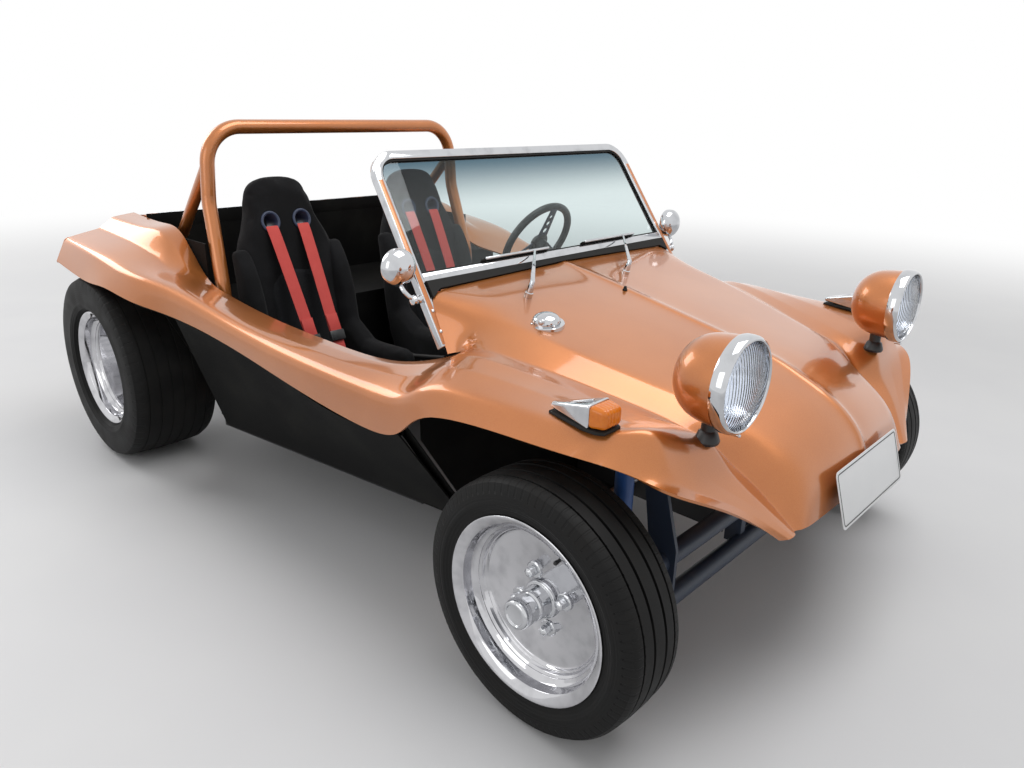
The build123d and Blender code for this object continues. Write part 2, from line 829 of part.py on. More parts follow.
def shock(x, low, high, eye_r, eye_width):
    """A shock absorber in a plane along the car, from its lower to its upper pin."""
    low_point, high_point = Vector(x, at(low[0]), low[1]), Vector(x, at(high[0]), high[1])
    run = high_point - low_point
    along = run.normalized()
    with BuildPart() as damper:
        with BuildSketch(Plane(origin=low_point + along * (eye_r - 2), z_dir=along)):
            Circle(shock_r - 4)
        extrude(amount=run.length / 2)
        with BuildSketch(Plane(origin=low_point + run / 2, z_dir=along)):
            Circle(shock_r)
        extrude(amount=run.length / 2 - eye_r + 2)
        for point in (low_point, high_point):
            with BuildSketch(Plane.YZ.offset(x - eye_width / 2)):
                with Locations((point.Y, point.Z)):
                    Circle(eye_r)
            extrude(amount=eye_width)
            with BuildSketch(Plane.YZ.offset(x - eye_width)):
                with Locations((point.Y, point.Z)):
                    Circle(shock_pin_r + pin_play)
            extrude(amount=2 * eye_width, mode=Mode.SUBTRACT)
    return damper.part


front_shock = shock(
    shock_x, (shock_station, shock_low_z), (shock_station, tower_top_z - 20), 17, 34
)
save_both(front_shock, "front_shocks")

# Steering knuckles: kingpin, spindle and steering arm
with BuildPart() as knuckle:
    low_face = beam_low_z + arm_rise + arm_height / 2 + touch
    high_face = low_face + beam_spacing - arm_height - 2 * touch
    pin_top = high_face + arm_height + 8
    with Locations((kingpin_x, at(0), low_face)):
        Cylinder(boss_r + 3, high_face - low_face, align=(Align.CENTER, Align.CENTER, Align.MIN))
    with Locations((kingpin_x, at(0), low_face - arm_height - 5)):
        pin_length = pin_top - low_face + arm_height + 5
        Cylinder(kingpin_r, pin_length, align=(Align.CENTER, Align.CENTER, Align.MIN))
    with BuildSketch(lengthwise(kingpin_x)):
        with Locations((at(0), front_tyre_r)):
            Circle(spindle_r)
    extrude(amount=front_track / 2 + 40 - kingpin_x)
    with BuildSketch(lengthwise(kingpin_x)):
        with Locations((at(0), front_tyre_r)):
            Circle(30)
    extrude(amount=30)
    with BuildSketch(Plane.XY.offset(pin_top - 4)):
        with Locations((kingpin_x, at(0))):
            Circle(boss_r)
        with Locations((kingpin_x, at(steer_arm))):
            Circle(18)
        with Locations((kingpin_x, at(steer_arm / 2))):
            Rectangle(26, steer_arm)
    extrude(amount=10)
save_pair(knuckle.part, "knuckle")

arm_top = pin_top + 6
with BuildPart() as tie_rods:
    add(rod((-kingpin_x, steer_arm, rod_z), (kingpin_x, steer_arm, rod_z), rod_r))
    for side in (-1, 1):
        with Locations((side * kingpin_x, at(steer_arm), arm_top + touch)):
            Cylinder(11, rod_z + 8 - arm_top, align=(Align.CENTER, Align.CENTER, Align.MIN))
save(tie_rods.part, "tie_rods")

# Steering box on the upper tube, shaft, column and wheel
column_tilt = 28
wheel_station = seat_back_station - 534
wheel_z = 800
column_r = 16
wheel_r = 160
grip_r = 12
tilt = radians(column_tilt)


def on_column(back):
    """A point on the column's line at a distance in front of the steering wheel's centre."""
    return (seat_x, wheel_station - back * cos(tilt), wheel_z - back * sin(tilt))


with BuildPart() as steering_column:
    box_z = beam_low_z + beam_spacing + beam_tube_r + touch
    with Locations((150, at(-150), box_z)):
        Box(90, 100, 80, align=(Align.CENTER, Align.MIN, Align.MIN))
    with Locations((150, at(-60), rod_z + rod_r + 6)):
        Box(30, 145, 12, align=(Align.CENTER, Align.MIN, Align.MIN))
    knee = on_column(600)
    add(rod((150, -60, box_z + 50), knee, 10))
    add(rod(knee, on_column(42), column_r))
save(steering_column.part, "steering_column")

wheel_plane = Plane(
    origin=(seat_x, at(wheel_station), wheel_z), x_dir=(1, 0, 0), z_dir=(0, cos(tilt), sin(tilt))
)
with BuildPart() as steering_wheel:
    with BuildSketch(Plane(origin=wheel_plane.origin, x_dir=wheel_plane.x_dir, z_dir=wheel_plane.y_dir)):
        with Locations((wheel_r - grip_r, 0)):
            Circle(grip_r)
    revolve(axis=Axis(wheel_plane.origin, wheel_plane.z_dir))
    with BuildSketch(wheel_plane.offset(-14)):
        Circle(34)
        for turn in (0, 120, 240):
            with Locations(Location((0, 0), turn - 90)):
                with Locations((wheel_r / 2 - 4, 0)):
                    Rectangle(wheel_r - 20, 30)
    extrude(amount=4)
    with BuildSketch(wheel_plane.offset(-42 + touch)):
        Circle(24)
    extrude(amount=34)
save(steering_wheel.part, "steering_wheel")

# Floor controls
with BuildPart() as pedals:
    for dx in (-95, 0, 95):
        foot_z = pan_bottom_z + pan_thickness + touch
        with Locations((seat_x + dx, at(520), foot_z)):
            Box(14, 16, 130, align=(Align.CENTER, Align.CENTER, Align.MIN))
        with Locations((seat_x + dx, at(534), foot_z + 120)):
            Box(58, 12, 66, align=(Align.CENTER, Align.CENTER, Align.MIN))
save(pedals.part, "pedals")

tunnel_top = pan_bottom_z + tunnel_height + touch
with BuildPart() as hand_levers:
    with Locations((0, at(wheel_station + 20), tunnel_top)):
        Cylinder(32, 30, align=(Align.CENTER, Align.CENTER, Align.MIN))
    add(rod((0, wheel_station + 20, tunnel_top + 10), (0, wheel_station + 80, 620), 6))
    with Locations((0, at(wheel_station + 80), 628)):
        Sphere(22)
    with Locations((0, at(wheel_station + 360), tunnel_top)):
        Box(40, 90, 30, align=(Align.CENTER, Align.CENTER, Align.MIN))
    add(rod((0, wheel_station + 370, tunnel_top + 18), (0, wheel_station + 150, tunnel_top + 60), 11))
save(hand_levers.part, "hand_levers")


# Wheels


def wheel_set(track, station, tyre_r, rim_width, tyre_width, inset, cap_end):
    """The left rim with its drum and cap, and its tyre, turned about their axle."""
    middle = track / 2
    half = rim_width / 2
    spin = spin_plane(middle, station, tyre_r)
    axle = cross_axis(station, tyre_r)
    face = -inset
    with BuildPart() as rim:
        with BuildSketch(spin):
            Polygon(
                (-half, flange_r),
                (-half + 7, flange_r),
                (-half + 9, bead_r),
                (-half + 34, bead_r),
                (-half + 44, barrel_r),
                (half - 44, barrel_r),
                (half - 34, bead_r),
                (half - 9, bead_r),
                (half - 7, flange_r),
                (half, flange_r),
                (half, flange_r - 7),
                (half - 10, bead_r - rim_wall),
                (half - 36, bead_r - rim_wall),
                (half - 48, barrel_r - rim_wall),
                (face, barrel_r - rim_wall),
                (face, cap_r),
                (cap_end, cap_r),
                (cap_end, 0),
                (face - 10 - drum_depth, 0),
                (face - 10 - drum_depth, drum_r),
                (face - 10, drum_r),
                (face - 10, barrel_r - rim_wall),
                (-half + 46, barrel_r - rim_wall),
                (-half + 34, bead_r - rim_wall),
                (-half, flange_r - 7),
                align=None,
            )
        revolve(axis=axle)
    with BuildPart() as tyre:
        edge = half - 9 - touch
        bulge = tyre_width / 2
        crown = tyre_r
        shoulder = 0.24 * tyre_width
        outer = [
            (edge, bead_r + touch),
            (edge, flange_r + 2),
            (bulge, flange_r + 24),
            (bulge, crown - 34),
            (bulge - shoulder / 2, crown - 4),
            (0, crown),
        ]
        inner = [(edge - 10, bead_r + touch), (edge - 10, flange_r + 4), (bulge - 9, crown - 40)]
        inner += [(bulge - shoulder / 2 - 6, crown - 14), (0, crown - 12)]
        with BuildSketch(spin):
            with BuildLine():
                FilletPolyline(*outer, radius=[10, 22, 26, 30])
                FilletPolyline(*inner, radius=[8, 24, 20])
                Line(outer[0], inner[0])
                Line(outer[-1], inner[-1])
            make_face()
            mirror(about=Plane.YZ)
        revolve(axis=axle)
    return rim.part, tyre.part


front_rim, front_tyre = wheel_set(
    front_track, 0, front_tyre_r, front_rim_width, front_tyre_width, front_disc_inset, 104
)
with BuildPart() as front_wheel:
    add(front_rim)
    with BuildSketch(lengthwise(kingpin_x)):
        with Locations((at(0), front_tyre_r)):
            Circle(spindle_r + pin_play)
    extrude(amount=front_track / 2 + 42 - kingpin_x, mode=Mode.SUBTRACT)
save_pair(front_wheel.part, "front_rim")
save_pair(front_tyre, "front_tyre")

rear_rim, rear_tyre = wheel_set(
    rear_track, wheelbase, rear_tyre_r, rear_rim_width, rear_tyre_width, rear_disc_inset, 30
)
axle_tube_end = rear_track / 2 - rear_disc_inset - 10 - drum_depth - 8
with BuildPart() as rear_wheel:
    add(rear_rim)
    with BuildSketch(lengthwise(axle_tube_end - 60)):
        with Locations((at(wheelbase), rear_tyre_r)):
            Circle(spindle_r)
    extrude(amount=80)
save_pair(rear_wheel.part, "rear_rim")
save_pair(rear_tyre, "rear_tyre")

# Gearbox with its axle tubes and the ears that rest on the fork
with BuildPart() as transaxle:
    with BuildSketch(across(torsion_station + torsion_r + 6)):
        with Locations((0, crank_z)):
            Circle(60)
    with BuildSketch(across(wheelbase - 140)):
        with Locations((0, crank_z)):
            Circle(96)
    loft()
    with BuildSketch(across(wheelbase - 140)):
        with Locations((0, crank_z)):
            Circle(104)
    extrude(amount=-200)
    with BuildSketch(across(wheelbase + 60)):
        with Locations((0, crank_z)):
            Circle(104)
    with BuildSketch(across(engine_front - 20)):
        with Locations((0, crank_z)):
            Circle(178)
    loft()
    with BuildSketch(across(engine_front - 20)):
        with Locations((0, crank_z)):
            Circle(186)
    extrude(amount=-20)
    with BuildSketch(lengthwise(-axle_tube_end)):
        with Locations((at(wheelbase), rear_tyre_r)):
            Circle(32)
    extrude(amount=2 * axle_tube_end)
    for side in (-1, 1):
        with Locations((side * 90, at(wheelbase - 100), fork_z + fork_depth / 2 + touch)):
            Box(80, 60, 26, align=(Align.MIN if side > 0 else Align.MAX, Align.MIN, Align.MIN))
        with BuildSketch(lengthwise(side * (axle_tube_end - 70))):
            with Locations((at(wheelbase), rear_tyre_r)):
                Circle(spindle_r + pin_play)
        extrude(amount=side * 90, mode=Mode.SUBTRACT)
save(transaxle.part, "transaxle")

# Spring plates from the torsion tube to the axle tubes, and the rear shock absorbers
rear_shock_low = (wheelbase - 75, 322)
with BuildPart() as spring_plate:
    with BuildSketch(lengthwise(torsion_half + touch)):
        with Locations((at(torsion_station), torsion_z)):
            Circle(50)
        with Locations((at(wheelbase), rear_tyre_r)):
            Circle(48)
        Polygon(
            (at(torsion_station), torsion_z - 32),
            (at(torsion_station), torsion_z + 32),
            (at(wheelbase), rear_tyre_r + 32),
            (at(wheelbase), rear_tyre_r - 32),
            align=None,
        )
        with Locations((at(wheelbase), rear_tyre_r)):
            Circle(32 + touch, mode=Mode.SUBTRACT)
    extrude(amount=8)
    add(rod((torsion_half + 4, *rear_shock_low), (torsion_half + 64, *rear_shock_low), shock_pin_r))
save_both(spring_plate.part, "spring_plates")
rear_shock = shock(torsion_half + 36, rear_shock_low, (horn_station, horn_z), 17, 34)
save_both(rear_shock, "rear_shocks")

# Engine: crankcase, finned cylinder banks, cooling shroud, generator, carburettor and exhaust
case_half = 112
with BuildPart() as engine_case:
    with BuildSketch(across(engine_front + touch)):
        with BuildLine():
            FilletPolyline(
                (0, 222), (150, 222), (150, 246), (case_half, 268), (case_half, 392), (60, 440), (0, 440),
                radius=[10, 10, 10, 10, 20],
            )
            Line((0, 440), (0, 222))
        make_face()
        mirror(about=Plane.YZ)
    extrude(amount=-(engine_rear - engine_front))
    with BuildSketch(across(engine_front + touch)):
        with Locations((0, crank_z)):
            Circle(186)
    extrude(amount=-16)
    with BuildSketch(across(engine_rear)):
        with Locations((0, crank_z)):
            Circle(30)
    extrude(amount=-28)
    with BuildSketch(across(engine_rear + 10)):
        with Locations((0, crank_z)):
            Circle(84)
    extrude(amount=-18)
save(engine_case.part, "engine_case")

bank_front = engine_front + 32
bank_length = 252
fin_pitch = 13
fin_count = 12
with BuildPart() as cylinder_bank:
    with BuildSketch(lengthwise(case_half + touch)):
        for middle in (bank_front + 66, bank_front + 186):
            with Locations((at(middle), crank_z + 6)):
                Circle(50)
    extrude(amount=178)
    with Locations(*[(case_half + 12 + fin_pitch * n, at(bank_front), crank_z + 6) for n in range(fin_count)]):
        Box(4, bank_length, 128, align=(Align.MIN, Align.MIN, Align.CENTER))
    with Locations((case_half + 170, at(bank_front), crank_z + 6)):
        Box(80, bank_length, 118, align=(Align.MIN, Align.MIN, Align.CENTER))
    with Locations((case_half + 250, at(bank_front + 8), crank_z - 4)):
        Box(36, bank_length - 16, 92, align=(Align.MIN, Align.MIN, Align.CENTER))
save_both(cylinder_bank.part, "cylinder_banks")

shroud_front = engine_front + 92
shroud_depth = 132
with BuildPart() as fan_shroud:
    with BuildSketch(across(shroud_front)):
        with Locations((0, fan_z)):
            Circle(158)
        Polygon(
            (-158, fan_z), (158, fan_z), (300, 500), (300, 408), (118, 408), (118, 450),
            (-118, 450), (-118, 408), (-300, 408), (-300, 500), align=None,
        )
    extrude(amount=-shroud_depth)
    with BuildSketch(across(shroud_front)):
        with Locations((0, fan_z)):
            Circle(84)
    extrude(amount=-24, mode=Mode.SUBTRACT)
save(fan_shroud.part, "fan_shroud")

with BuildPart() as generator:
    with BuildSketch(across(shroud_front + shroud_depth + touch)):
        with Locations((0, fan_z)):
            Circle(50)
    extrude(amount=-104)
    with BuildSketch(across(engine_rear + 10)):
        with Locations((0, fan_z)):
            Circle(66)
    extrude(amount=-18)
    with BuildSketch(across(shroud_front + shroud_depth + 100)):
        with Locations((0, fan_z)):
            Circle(14)
    extrude(amount=-(engine_rear + 12 - shroud_front - shroud_depth - 100))
    with Locations((0, at(engine_rear - 60), 440 + touch)):
        Box(70, 50, 160, align=(Align.CENTER, Align.MIN, Align.MIN))
save(generator.part, "generator")

with BuildPart() as carburettor:
    pipe_station, body_station = engine_rear - 80, engine_rear - 40
    add(rod((-300, pipe_station, 470), (300, pipe_station, 470), 15))
    for side in (-1, 1):
        pipe_foot = (side * 300, pipe_station, crank_z + 65 + touch)
        add(rod((side * 300, pipe_station, 478), pipe_foot, 15))
    add(rod((150, pipe_station, 470), (150, body_station, 520), 15))
    with Locations((150, at(body_station), 515)):
        Box(70, 80, 130, align=(Align.CENTER, Align.CENTER, Align.MIN))
    with Locations((150, at(body_station), 645)):
        Cylinder(63, 60, align=(Align.CENTER, Align.CENTER, Align.MIN))
save(carburettor.part, "carburettor")

muffler_station = engine_rear + 60
muffler_z = 188
muffler_r = 46
pipe_r = 17
clamp_end = muffler_station + muffler_r + 3
pipe_end = clamp_end + 16
with BuildPart() as exhaust:
    add(rod((-270, muffler_station, muffler_z), (270, muffler_station, muffler_z), muffler_r))
    for side in (-1, 1):
        port = (side * 322, engine_rear - 100, crank_z - 53 - touch)
        add(rod(port, (side * 322, engine_rear - 100, 230), 19))
        add(rod((side * 322, engine_rear - 108, 232), (side * 240, muffler_station, muffler_z), 19))
        add(rod((side * 80, muffler_station, muffler_z), (side * 80, clamp_end, muffler_z), pipe_r + 7))
        add(rod((side * 80, muffler_station, muffler_z), (side * 80, pipe_end, muffler_z), pipe_r))
save(exhaust.part, "exhaust")
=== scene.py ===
import math

import bmesh
import bpy
from mathutils import Matrix, Vector


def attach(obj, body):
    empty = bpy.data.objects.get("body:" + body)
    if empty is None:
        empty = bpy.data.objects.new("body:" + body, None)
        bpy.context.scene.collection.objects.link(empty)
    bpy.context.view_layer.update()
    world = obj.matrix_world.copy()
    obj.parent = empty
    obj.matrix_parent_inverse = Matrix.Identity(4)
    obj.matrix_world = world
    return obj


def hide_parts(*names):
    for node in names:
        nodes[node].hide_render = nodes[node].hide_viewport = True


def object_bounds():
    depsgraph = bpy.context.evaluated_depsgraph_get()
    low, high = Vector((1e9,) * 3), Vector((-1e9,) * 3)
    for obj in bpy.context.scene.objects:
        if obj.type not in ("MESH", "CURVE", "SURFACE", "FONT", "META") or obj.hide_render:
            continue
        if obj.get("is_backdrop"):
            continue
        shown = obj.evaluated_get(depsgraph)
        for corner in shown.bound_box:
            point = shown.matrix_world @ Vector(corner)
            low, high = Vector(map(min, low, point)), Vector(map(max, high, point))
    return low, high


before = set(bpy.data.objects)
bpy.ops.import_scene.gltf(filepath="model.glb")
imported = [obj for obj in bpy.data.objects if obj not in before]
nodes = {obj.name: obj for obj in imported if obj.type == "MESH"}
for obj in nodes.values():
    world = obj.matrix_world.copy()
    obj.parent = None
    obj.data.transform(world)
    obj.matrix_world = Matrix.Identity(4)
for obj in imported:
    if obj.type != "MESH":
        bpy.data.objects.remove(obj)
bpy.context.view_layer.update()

# Studio: a pale floor that fades into a white surround, with a large soft lamp above the nose, a
# second one behind the car and a weak one on its right. The camera keeps the photograph's angle.
eye = Vector((-1.78044, -1.98096, 1.26221))
look_right = Vector((0.68784, -0.72555, 0.02124))
look_down = Vector((-0.23328, -0.24867, -0.94008))
look_ahead = Vector((0.68735, 0.64167, -0.34030))
focal_px, frame_px = 773.066, 1024
film_mm = 36
sight = bpy.data.cameras.new("camera")
sight.sensor_width = film_mm
sight.lens = film_mm * focal_px / frame_px
camera = bpy.data.objects.new("camera", sight)
camera_turn = Matrix((look_right, -look_down, -look_ahead)).transposed()
camera.matrix_world = Matrix.Translation(eye) @ camera_turn.to_4x4()
bpy.context.scene.collection.objects.link(camera)
bpy.context.scene.camera = camera


class Field:
    """A number or colour that varies over a surface, with Python's own arithmetic on it."""

    def __init__(self, shading, socket):
        self.shading, self.socket = shading, socket

    def work(self, operation, *numbers):
        """Work a Math node on fields and numbers."""
        numbers = dict(enumerate(numbers))
        return self.shading.add("ShaderNodeMath", {"operation": operation}, numbers)

    def __add__(self, other):
        return self.work("ADD", self, other)

    __radd__ = __add__

    def __sub__(self, other):
        return self.work("SUBTRACT", self, other)

    def __rsub__(self, other):
        return self.work("SUBTRACT", other, self)

    def __mul__(self, other):
        return self.work("MULTIPLY", self, other)

    __rmul__ = __mul__

    def __pow__(self, other):
        return self.work("POWER", self, other)

    def __gt__(self, other):
        return self.work("GREATER_THAN", self, other)

    def __abs__(self):
        return self.work("ABSOLUTE", self)

    def wave(self):
        """Even ripples, the sine of the field."""
        return self.work("SINE", self)


class Shading:
    """The nodes of a surface or of the surround, all added by one method."""

    def __init__(self, tree):
        self.tree = tree

    def add(self, kind, settings=None, sockets=None, output=0):
        """Add a node: its settings first, then numbers, colours or fields for its sockets."""
        node = self.tree.nodes.new(kind)
        for setting, value in (settings or {}).items():
            setattr(node, setting, value)
        for socket, value in (sockets or {}).items():
            if isinstance(value, Field):
                self.tree.links.new(value.socket, node.inputs[socket])
            else:
                node.inputs[socket].default_value = value
        return Field(self, node.outputs[output])

    def show(self, shader, shown, share, end):
        """Put another shader in the place of one, on all rays by which it is seen."""
        kinds = ("Is Camera Ray", "Is Glossy Ray", "Is Transmission Ray")
        direct, mirrored, through = [self.add("ShaderNodeLightPath", output=k) for k in kinds]
        rays = direct + mirrored + through > 0.5
        sockets = {0: share * rays, 1: Field(self, shader.outputs[0]), 2: shown}
        both = self.add("ShaderNodeMixShader", {}, sockets)
        self.tree.links.new(both.socket, self.tree.nodes[end].inputs["Surface"])


class Finish(Shading):
    """One surface finish: its nodes and the shader that they feed."""

    def __init__(self, name, colour, **constants):
        self.material = bpy.data.materials.new(name)
        self.material.use_nodes = True
        super().__init__(self.material.node_tree)
        self.shader = self.tree.nodes["Principled BSDF"]
        self.place = self.add("ShaderNodeTexCoord", output="Object")
        self.shader.inputs["Base Color"].default_value = (*colour, 1)
        for socket, value in constants.items():
            self.shader.inputs[socket.replace("_", " ")].default_value = value

    def feed(self, **fields):
        """Join fields to the shader's own sockets."""
        for socket, field in fields.items():
            self.tree.links.new(field.socket, self.shader.inputs[socket.replace("_", " ")])
        return self

    def stretched(self, stretch):
        """The place on the surface, scaled along its axes."""
        return self.add("ShaderNodeMapping", {}, {"Vector": self.place, "Scale": stretch})

    def noise(self, scale, detail=2, stretch=(1, 1, 1), rough=0.5):
        """A cloudy pattern."""
        sockets = {"Vector": self.stretched(stretch), "Scale": scale}
        return self.add("ShaderNodeTexNoise", {}, sockets | {"Detail": detail, "Roughness": rough})

    def cells(self, scale, output=0, stretch=(1, 1, 1)):
        """A pattern of small cells."""
        sockets = {"Vector": self.stretched(stretch), "Scale": scale}
        return self.add("ShaderNodeTexVoronoi", {}, sockets, output)

    def split(self, vector, letter):
        """One part of a vector."""
        return self.add("ShaderNodeSeparateXYZ", {}, {0: vector}, "XYZ".index(letter))

    def axis(self, letter):
        """One coordinate of the surface, in metres."""
        return self.split(self.place, letter)

    def steps(self, field, low, high):
        """0 below low, 1 above high, and a soft ramp between."""
        sockets = {"Value": field, "From Min": low, "From Max": high}
        return self.add("ShaderNodeMapRange", {"interpolation_type": "SMOOTHSTEP"}, sockets)

    def mix(self, factor, first, second):
        """Blend two colours by a field."""
        first, second = [c if isinstance(c, Field) else (*c, 1) for c in (first, second)]
        sockets = {0: factor, 6: first, 7: second}
        return self.add("ShaderNodeMix", {"data_type": "RGBA"}, sockets, 2)

    def bump(self, height, distance, strength=1.0):
        """Raise the surface by a field times a distance in metres."""
        sockets = {"Height": height, "Distance": distance, "Strength": strength}
        return self.feed(Normal=self.add("ShaderNodeBump", {}, sockets))


def take(piece):
    """Make one piece the only one selected, and the active one."""
    bpy.ops.object.select_all(action="DESELECT")
    piece.select_set(True)
    bpy.context.view_layer.objects.active = piece


floor_r, floor_gap = 60, 0.0005
bpy.ops.object.select_all(action="DESELECT")
bpy.ops.mesh.primitive_circle_add(
    vertices=96, radius=floor_r, fill_type="NGON", location=(0, 0, -floor_gap)
)
floor = bpy.context.object
floor.name = "studio_floor"
bpy.ops.object.transform_apply(location=True, rotation=True, scale=True)
pale = Finish("studio_floor", (0.74, 0.74, 0.75), Roughness=0.5)
from_middle = pale.add("ShaderNodeVectorMath", {"operation": "LENGTH"}, {0: pale.place}, "Value")
fade_from, fade_to = 2.4, 8
white = pale.add("ShaderNodeEmission", {}, {"Strength": 1})
faded = pale.steps(from_middle, fade_from, fade_to)
pale.show(pale.shader, white, faded, "Material Output")
clouds = pale.steps(pale.noise(1.3, 3), 0.35, 0.7)
pale.feed(Base_Color=pale.mix(clouds, (0.73, 0.73, 0.74), (0.76, 0.76, 0.765)))
floor.data.materials.append(pale.material)
floor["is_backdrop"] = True

world_light = 0.42
surround = bpy.data.worlds.new("surround")
bpy.context.scene.world = surround
surround.use_nodes = True
sky = Shading(surround.node_tree)
soft = sky.tree.nodes["Background"]
soft.inputs["Color"].default_value = (1, 1, 1, 1)
soft.inputs["Strength"].default_value = world_light
white = sky.add("ShaderNodeBackground", {}, {"Color": (1, 1, 1, 1), "Strength": 1})
sky.show(soft, white, 1, "World Output")
bpy.context.scene.view_settings.view_transform = "Standard"


def hang_lamp(name, place, aim, size, power):
    """One square soft lamp turned towards a point."""
    light = bpy.data.lights.new(name, "AREA")
    light.shape, light.size, light.energy = "SQUARE", size, power
    lamp = bpy.data.objects.new(name, light)
    turn = (Vector(place) - Vector(aim)).to_track_quat("Z", "Y").to_matrix()
    lamp.matrix_world = Matrix.Translation(place) @ turn.to_4x4()
    bpy.context.scene.collection.objects.link(lamp)


hang_lamp("key", (0.6, -1.6, 4.6), (0, -0.2, 0.5), 3.0, 105)
hang_lamp("back", (-1.6, 4.4, 3.4), (0, 0, 0.5), 2.4, 70)
hang_lamp("fill", (-4.6, -0.4, 2.2), (0, 0, 0.5), 2.6, 26)


def dress(finish, *names):
    """Give CAD nodes their finish."""
    for name in names:
        for held in nodes[name].material_slots:
            held.material = finish.material


# Chassis: pressed floor pan with its tunnel, the frame head and the rear fork, all sprayed in
# satin black chassis paint over steel, with a little road dust on their upper faces.
road_dust = (0.16, 0.145, 0.125)


def chassis_paint(name, colour):
    """Satin paint, dusty where it faces up."""
    paint = Finish(name, colour, Roughness=0.45)
    patches = paint.steps(paint.noise(9, 5, rough=0.65), 0.45, 0.75)
    upward = paint.split(paint.add("ShaderNodeNewGeometry", output="Normal"), "Z")
    settled = paint.steps(upward, 0.2, 1.0) * patches * 0.22
    paint.feed(Base_Color=paint.mix(settled, colour, road_dust), Roughness=settled * 0.5 + 0.42)
    return paint.bump(paint.noise(220, 3), 0.0004, 0.5)


black_steel = chassis_paint("black_steel", (0.010, 0.010, 0.011))
dress(black_steel, "floor_pan", "rear_frame", "seat_rails")
dress(black_steel, "pedals", "hand_levers", "steering_column")

# Front axle: two blue-grey beam tubes with their shock towers, black forged arms and knuckles,
# blue shock absorbers, and tie rods of bare steel.
beam_paint = chassis_paint("beam_paint", (0.030, 0.043, 0.072))
dress(beam_paint, "front_beam")
forged = chassis_paint("forged_arm", (0.028, 0.028, 0.030))
dress(forged, "trailing_arms", "knuckle_left", "knuckle_right", "spring_plates")
shock_blue = chassis_paint("shock_blue", (0.03, 0.10, 0.32))
dress(shock_blue, "front_shocks", "rear_shocks")


def machined(name, colour, roughness):
    """Bare metal with fine tool marks."""
    metal = Finish(name, colour, Metallic=1.0, Roughness=roughness)
    marks = metal.noise(900)
    cloud = metal.steps(metal.noise(14, 4), 0.35, 0.75)
    metal.feed(
        Base_Color=metal.mix(cloud, colour, tuple(c * 0.86 for c in colour)),
        Roughness=cloud * 0.10 + marks * 0.08 + (roughness - 0.06),
    )
    return metal.bump(marks, 0.00004, 0.4)


bright_steel = machined("bright_steel", (0.50, 0.50, 0.51), 0.32)
dress(bright_steel, "tie_rods", "generator")

# Gearbox and engine: sand-cast aluminium with a grey bloom, a black cooling shroud and a
# heat-stained exhaust.
cast_grey = (0.42, 0.42, 0.415)
cast_alloy = Finish("cast_alloy", cast_grey, Metallic=0.85, Roughness=0.5)
pits = cast_alloy.cells(420)
stain = cast_alloy.steps(cast_alloy.noise(11, 5, rough=0.6), 0.4, 0.72)
cast_alloy.feed(
    Base_Color=cast_alloy.mix(stain, cast_grey, tuple(c * 0.55 for c in cast_grey)),
    Roughness=stain * 0.18 + 0.44,
)
cast_alloy.bump(pits + cast_alloy.noise(150, 3) * 1.5, 0.0005, 0.5)
dress(cast_alloy, "transaxle", "engine_case", "cylinder_banks", "carburettor")
shroud_black = chassis_paint("shroud_black", (0.02, 0.02, 0.021))
dress(shroud_black, "fan_shroud")
stained = machined("stained_steel", (0.36, 0.33, 0.30), 0.42)
dress(stained, "exhaust")

# Body: one glass-fibre moulding from the nose over the hood and the front fenders, along the sills
# and up over the rear wheels, bolted to the pan. It is sprayed in copper metallic with fine flakes
# under a thick clear coat, as are the roll bar, the dashboard and the lamps' bowls.
copper = Finish("copper_paint", (0.50, 0.15, 0.034), Metallic=0.55, Roughness=0.34)
copper.shader.inputs["Coat Weight"].default_value = 1
copper.shader.inputs["Coat Roughness"].default_value = 0.06
flakes = copper.add("ShaderNodeSeparateColor", {}, {0: copper.cells(1500, output="Color")})
cloud = copper.steps(copper.noise(4.5, 3), 0.35, 0.7)
tone = copper.mix(cloud, (0.475, 0.142, 0.029), (0.525, 0.166, 0.037))
copper.feed(
    Base_Color=copper.mix(flakes * 0.22, tone, (0.76, 0.34, 0.10)),
    Roughness=flakes * 0.12 + 0.28,
)
copper.bump(copper.noise(260, 1) + flakes * 0.12, 0.00006, 0.3)
dress(copper, "fender_ends", "rear_panel", "dashboard", "roll_bar", "headlamps")

axle_station = 1095


def spot(x, station, height):
    """A place on the car in metres, from millimetres: across, behind the front axle, and up."""
    return Vector((x, station - axle_station, height)) / 1000


def pick(piece, wanted, kind="VERT"):
    """In edit mode, select just the vertices, edges or faces that are wanted."""
    bpy.ops.mesh.select_mode(type=kind)
    bpy.ops.mesh.select_all(action="DESELECT")
    shape = bmesh.from_edit_mesh(piece.data)
    for part in {"VERT": shape.verts, "EDGE": shape.edges, "FACE": shape.faces}[kind]:
        if wanted(part):
            part.select_set(True)
    shape.select_flush_mode()
    bmesh.update_edit_mesh(piece.data)


def draw(points):
    """Draw a line of edges through points, out of one new vertex of the piece in hand."""
    bpy.ops.mesh.primitive_plane_add(size=0.01, location=points[0])
    if bpy.context.mode == "OBJECT":
        bpy.ops.object.transform_apply(location=True)
        bpy.ops.object.mode_set(mode="EDIT")
        bpy.ops.mesh.select_mode(type="VERT")
    bpy.ops.mesh.merge(type="CENTER")
    for here, there in zip(points, points[1:]):
        bpy.ops.mesh.extrude_region_move(TRANSFORM_OT_translate={"value": there - here})


def begin(name, points):
    """Start a piece as a line through points, and stay in edit mode."""
    bpy.ops.object.select_all(action="DESELECT")
    draw(points)
    piece = bpy.context.object
    piece.name = name
    return piece


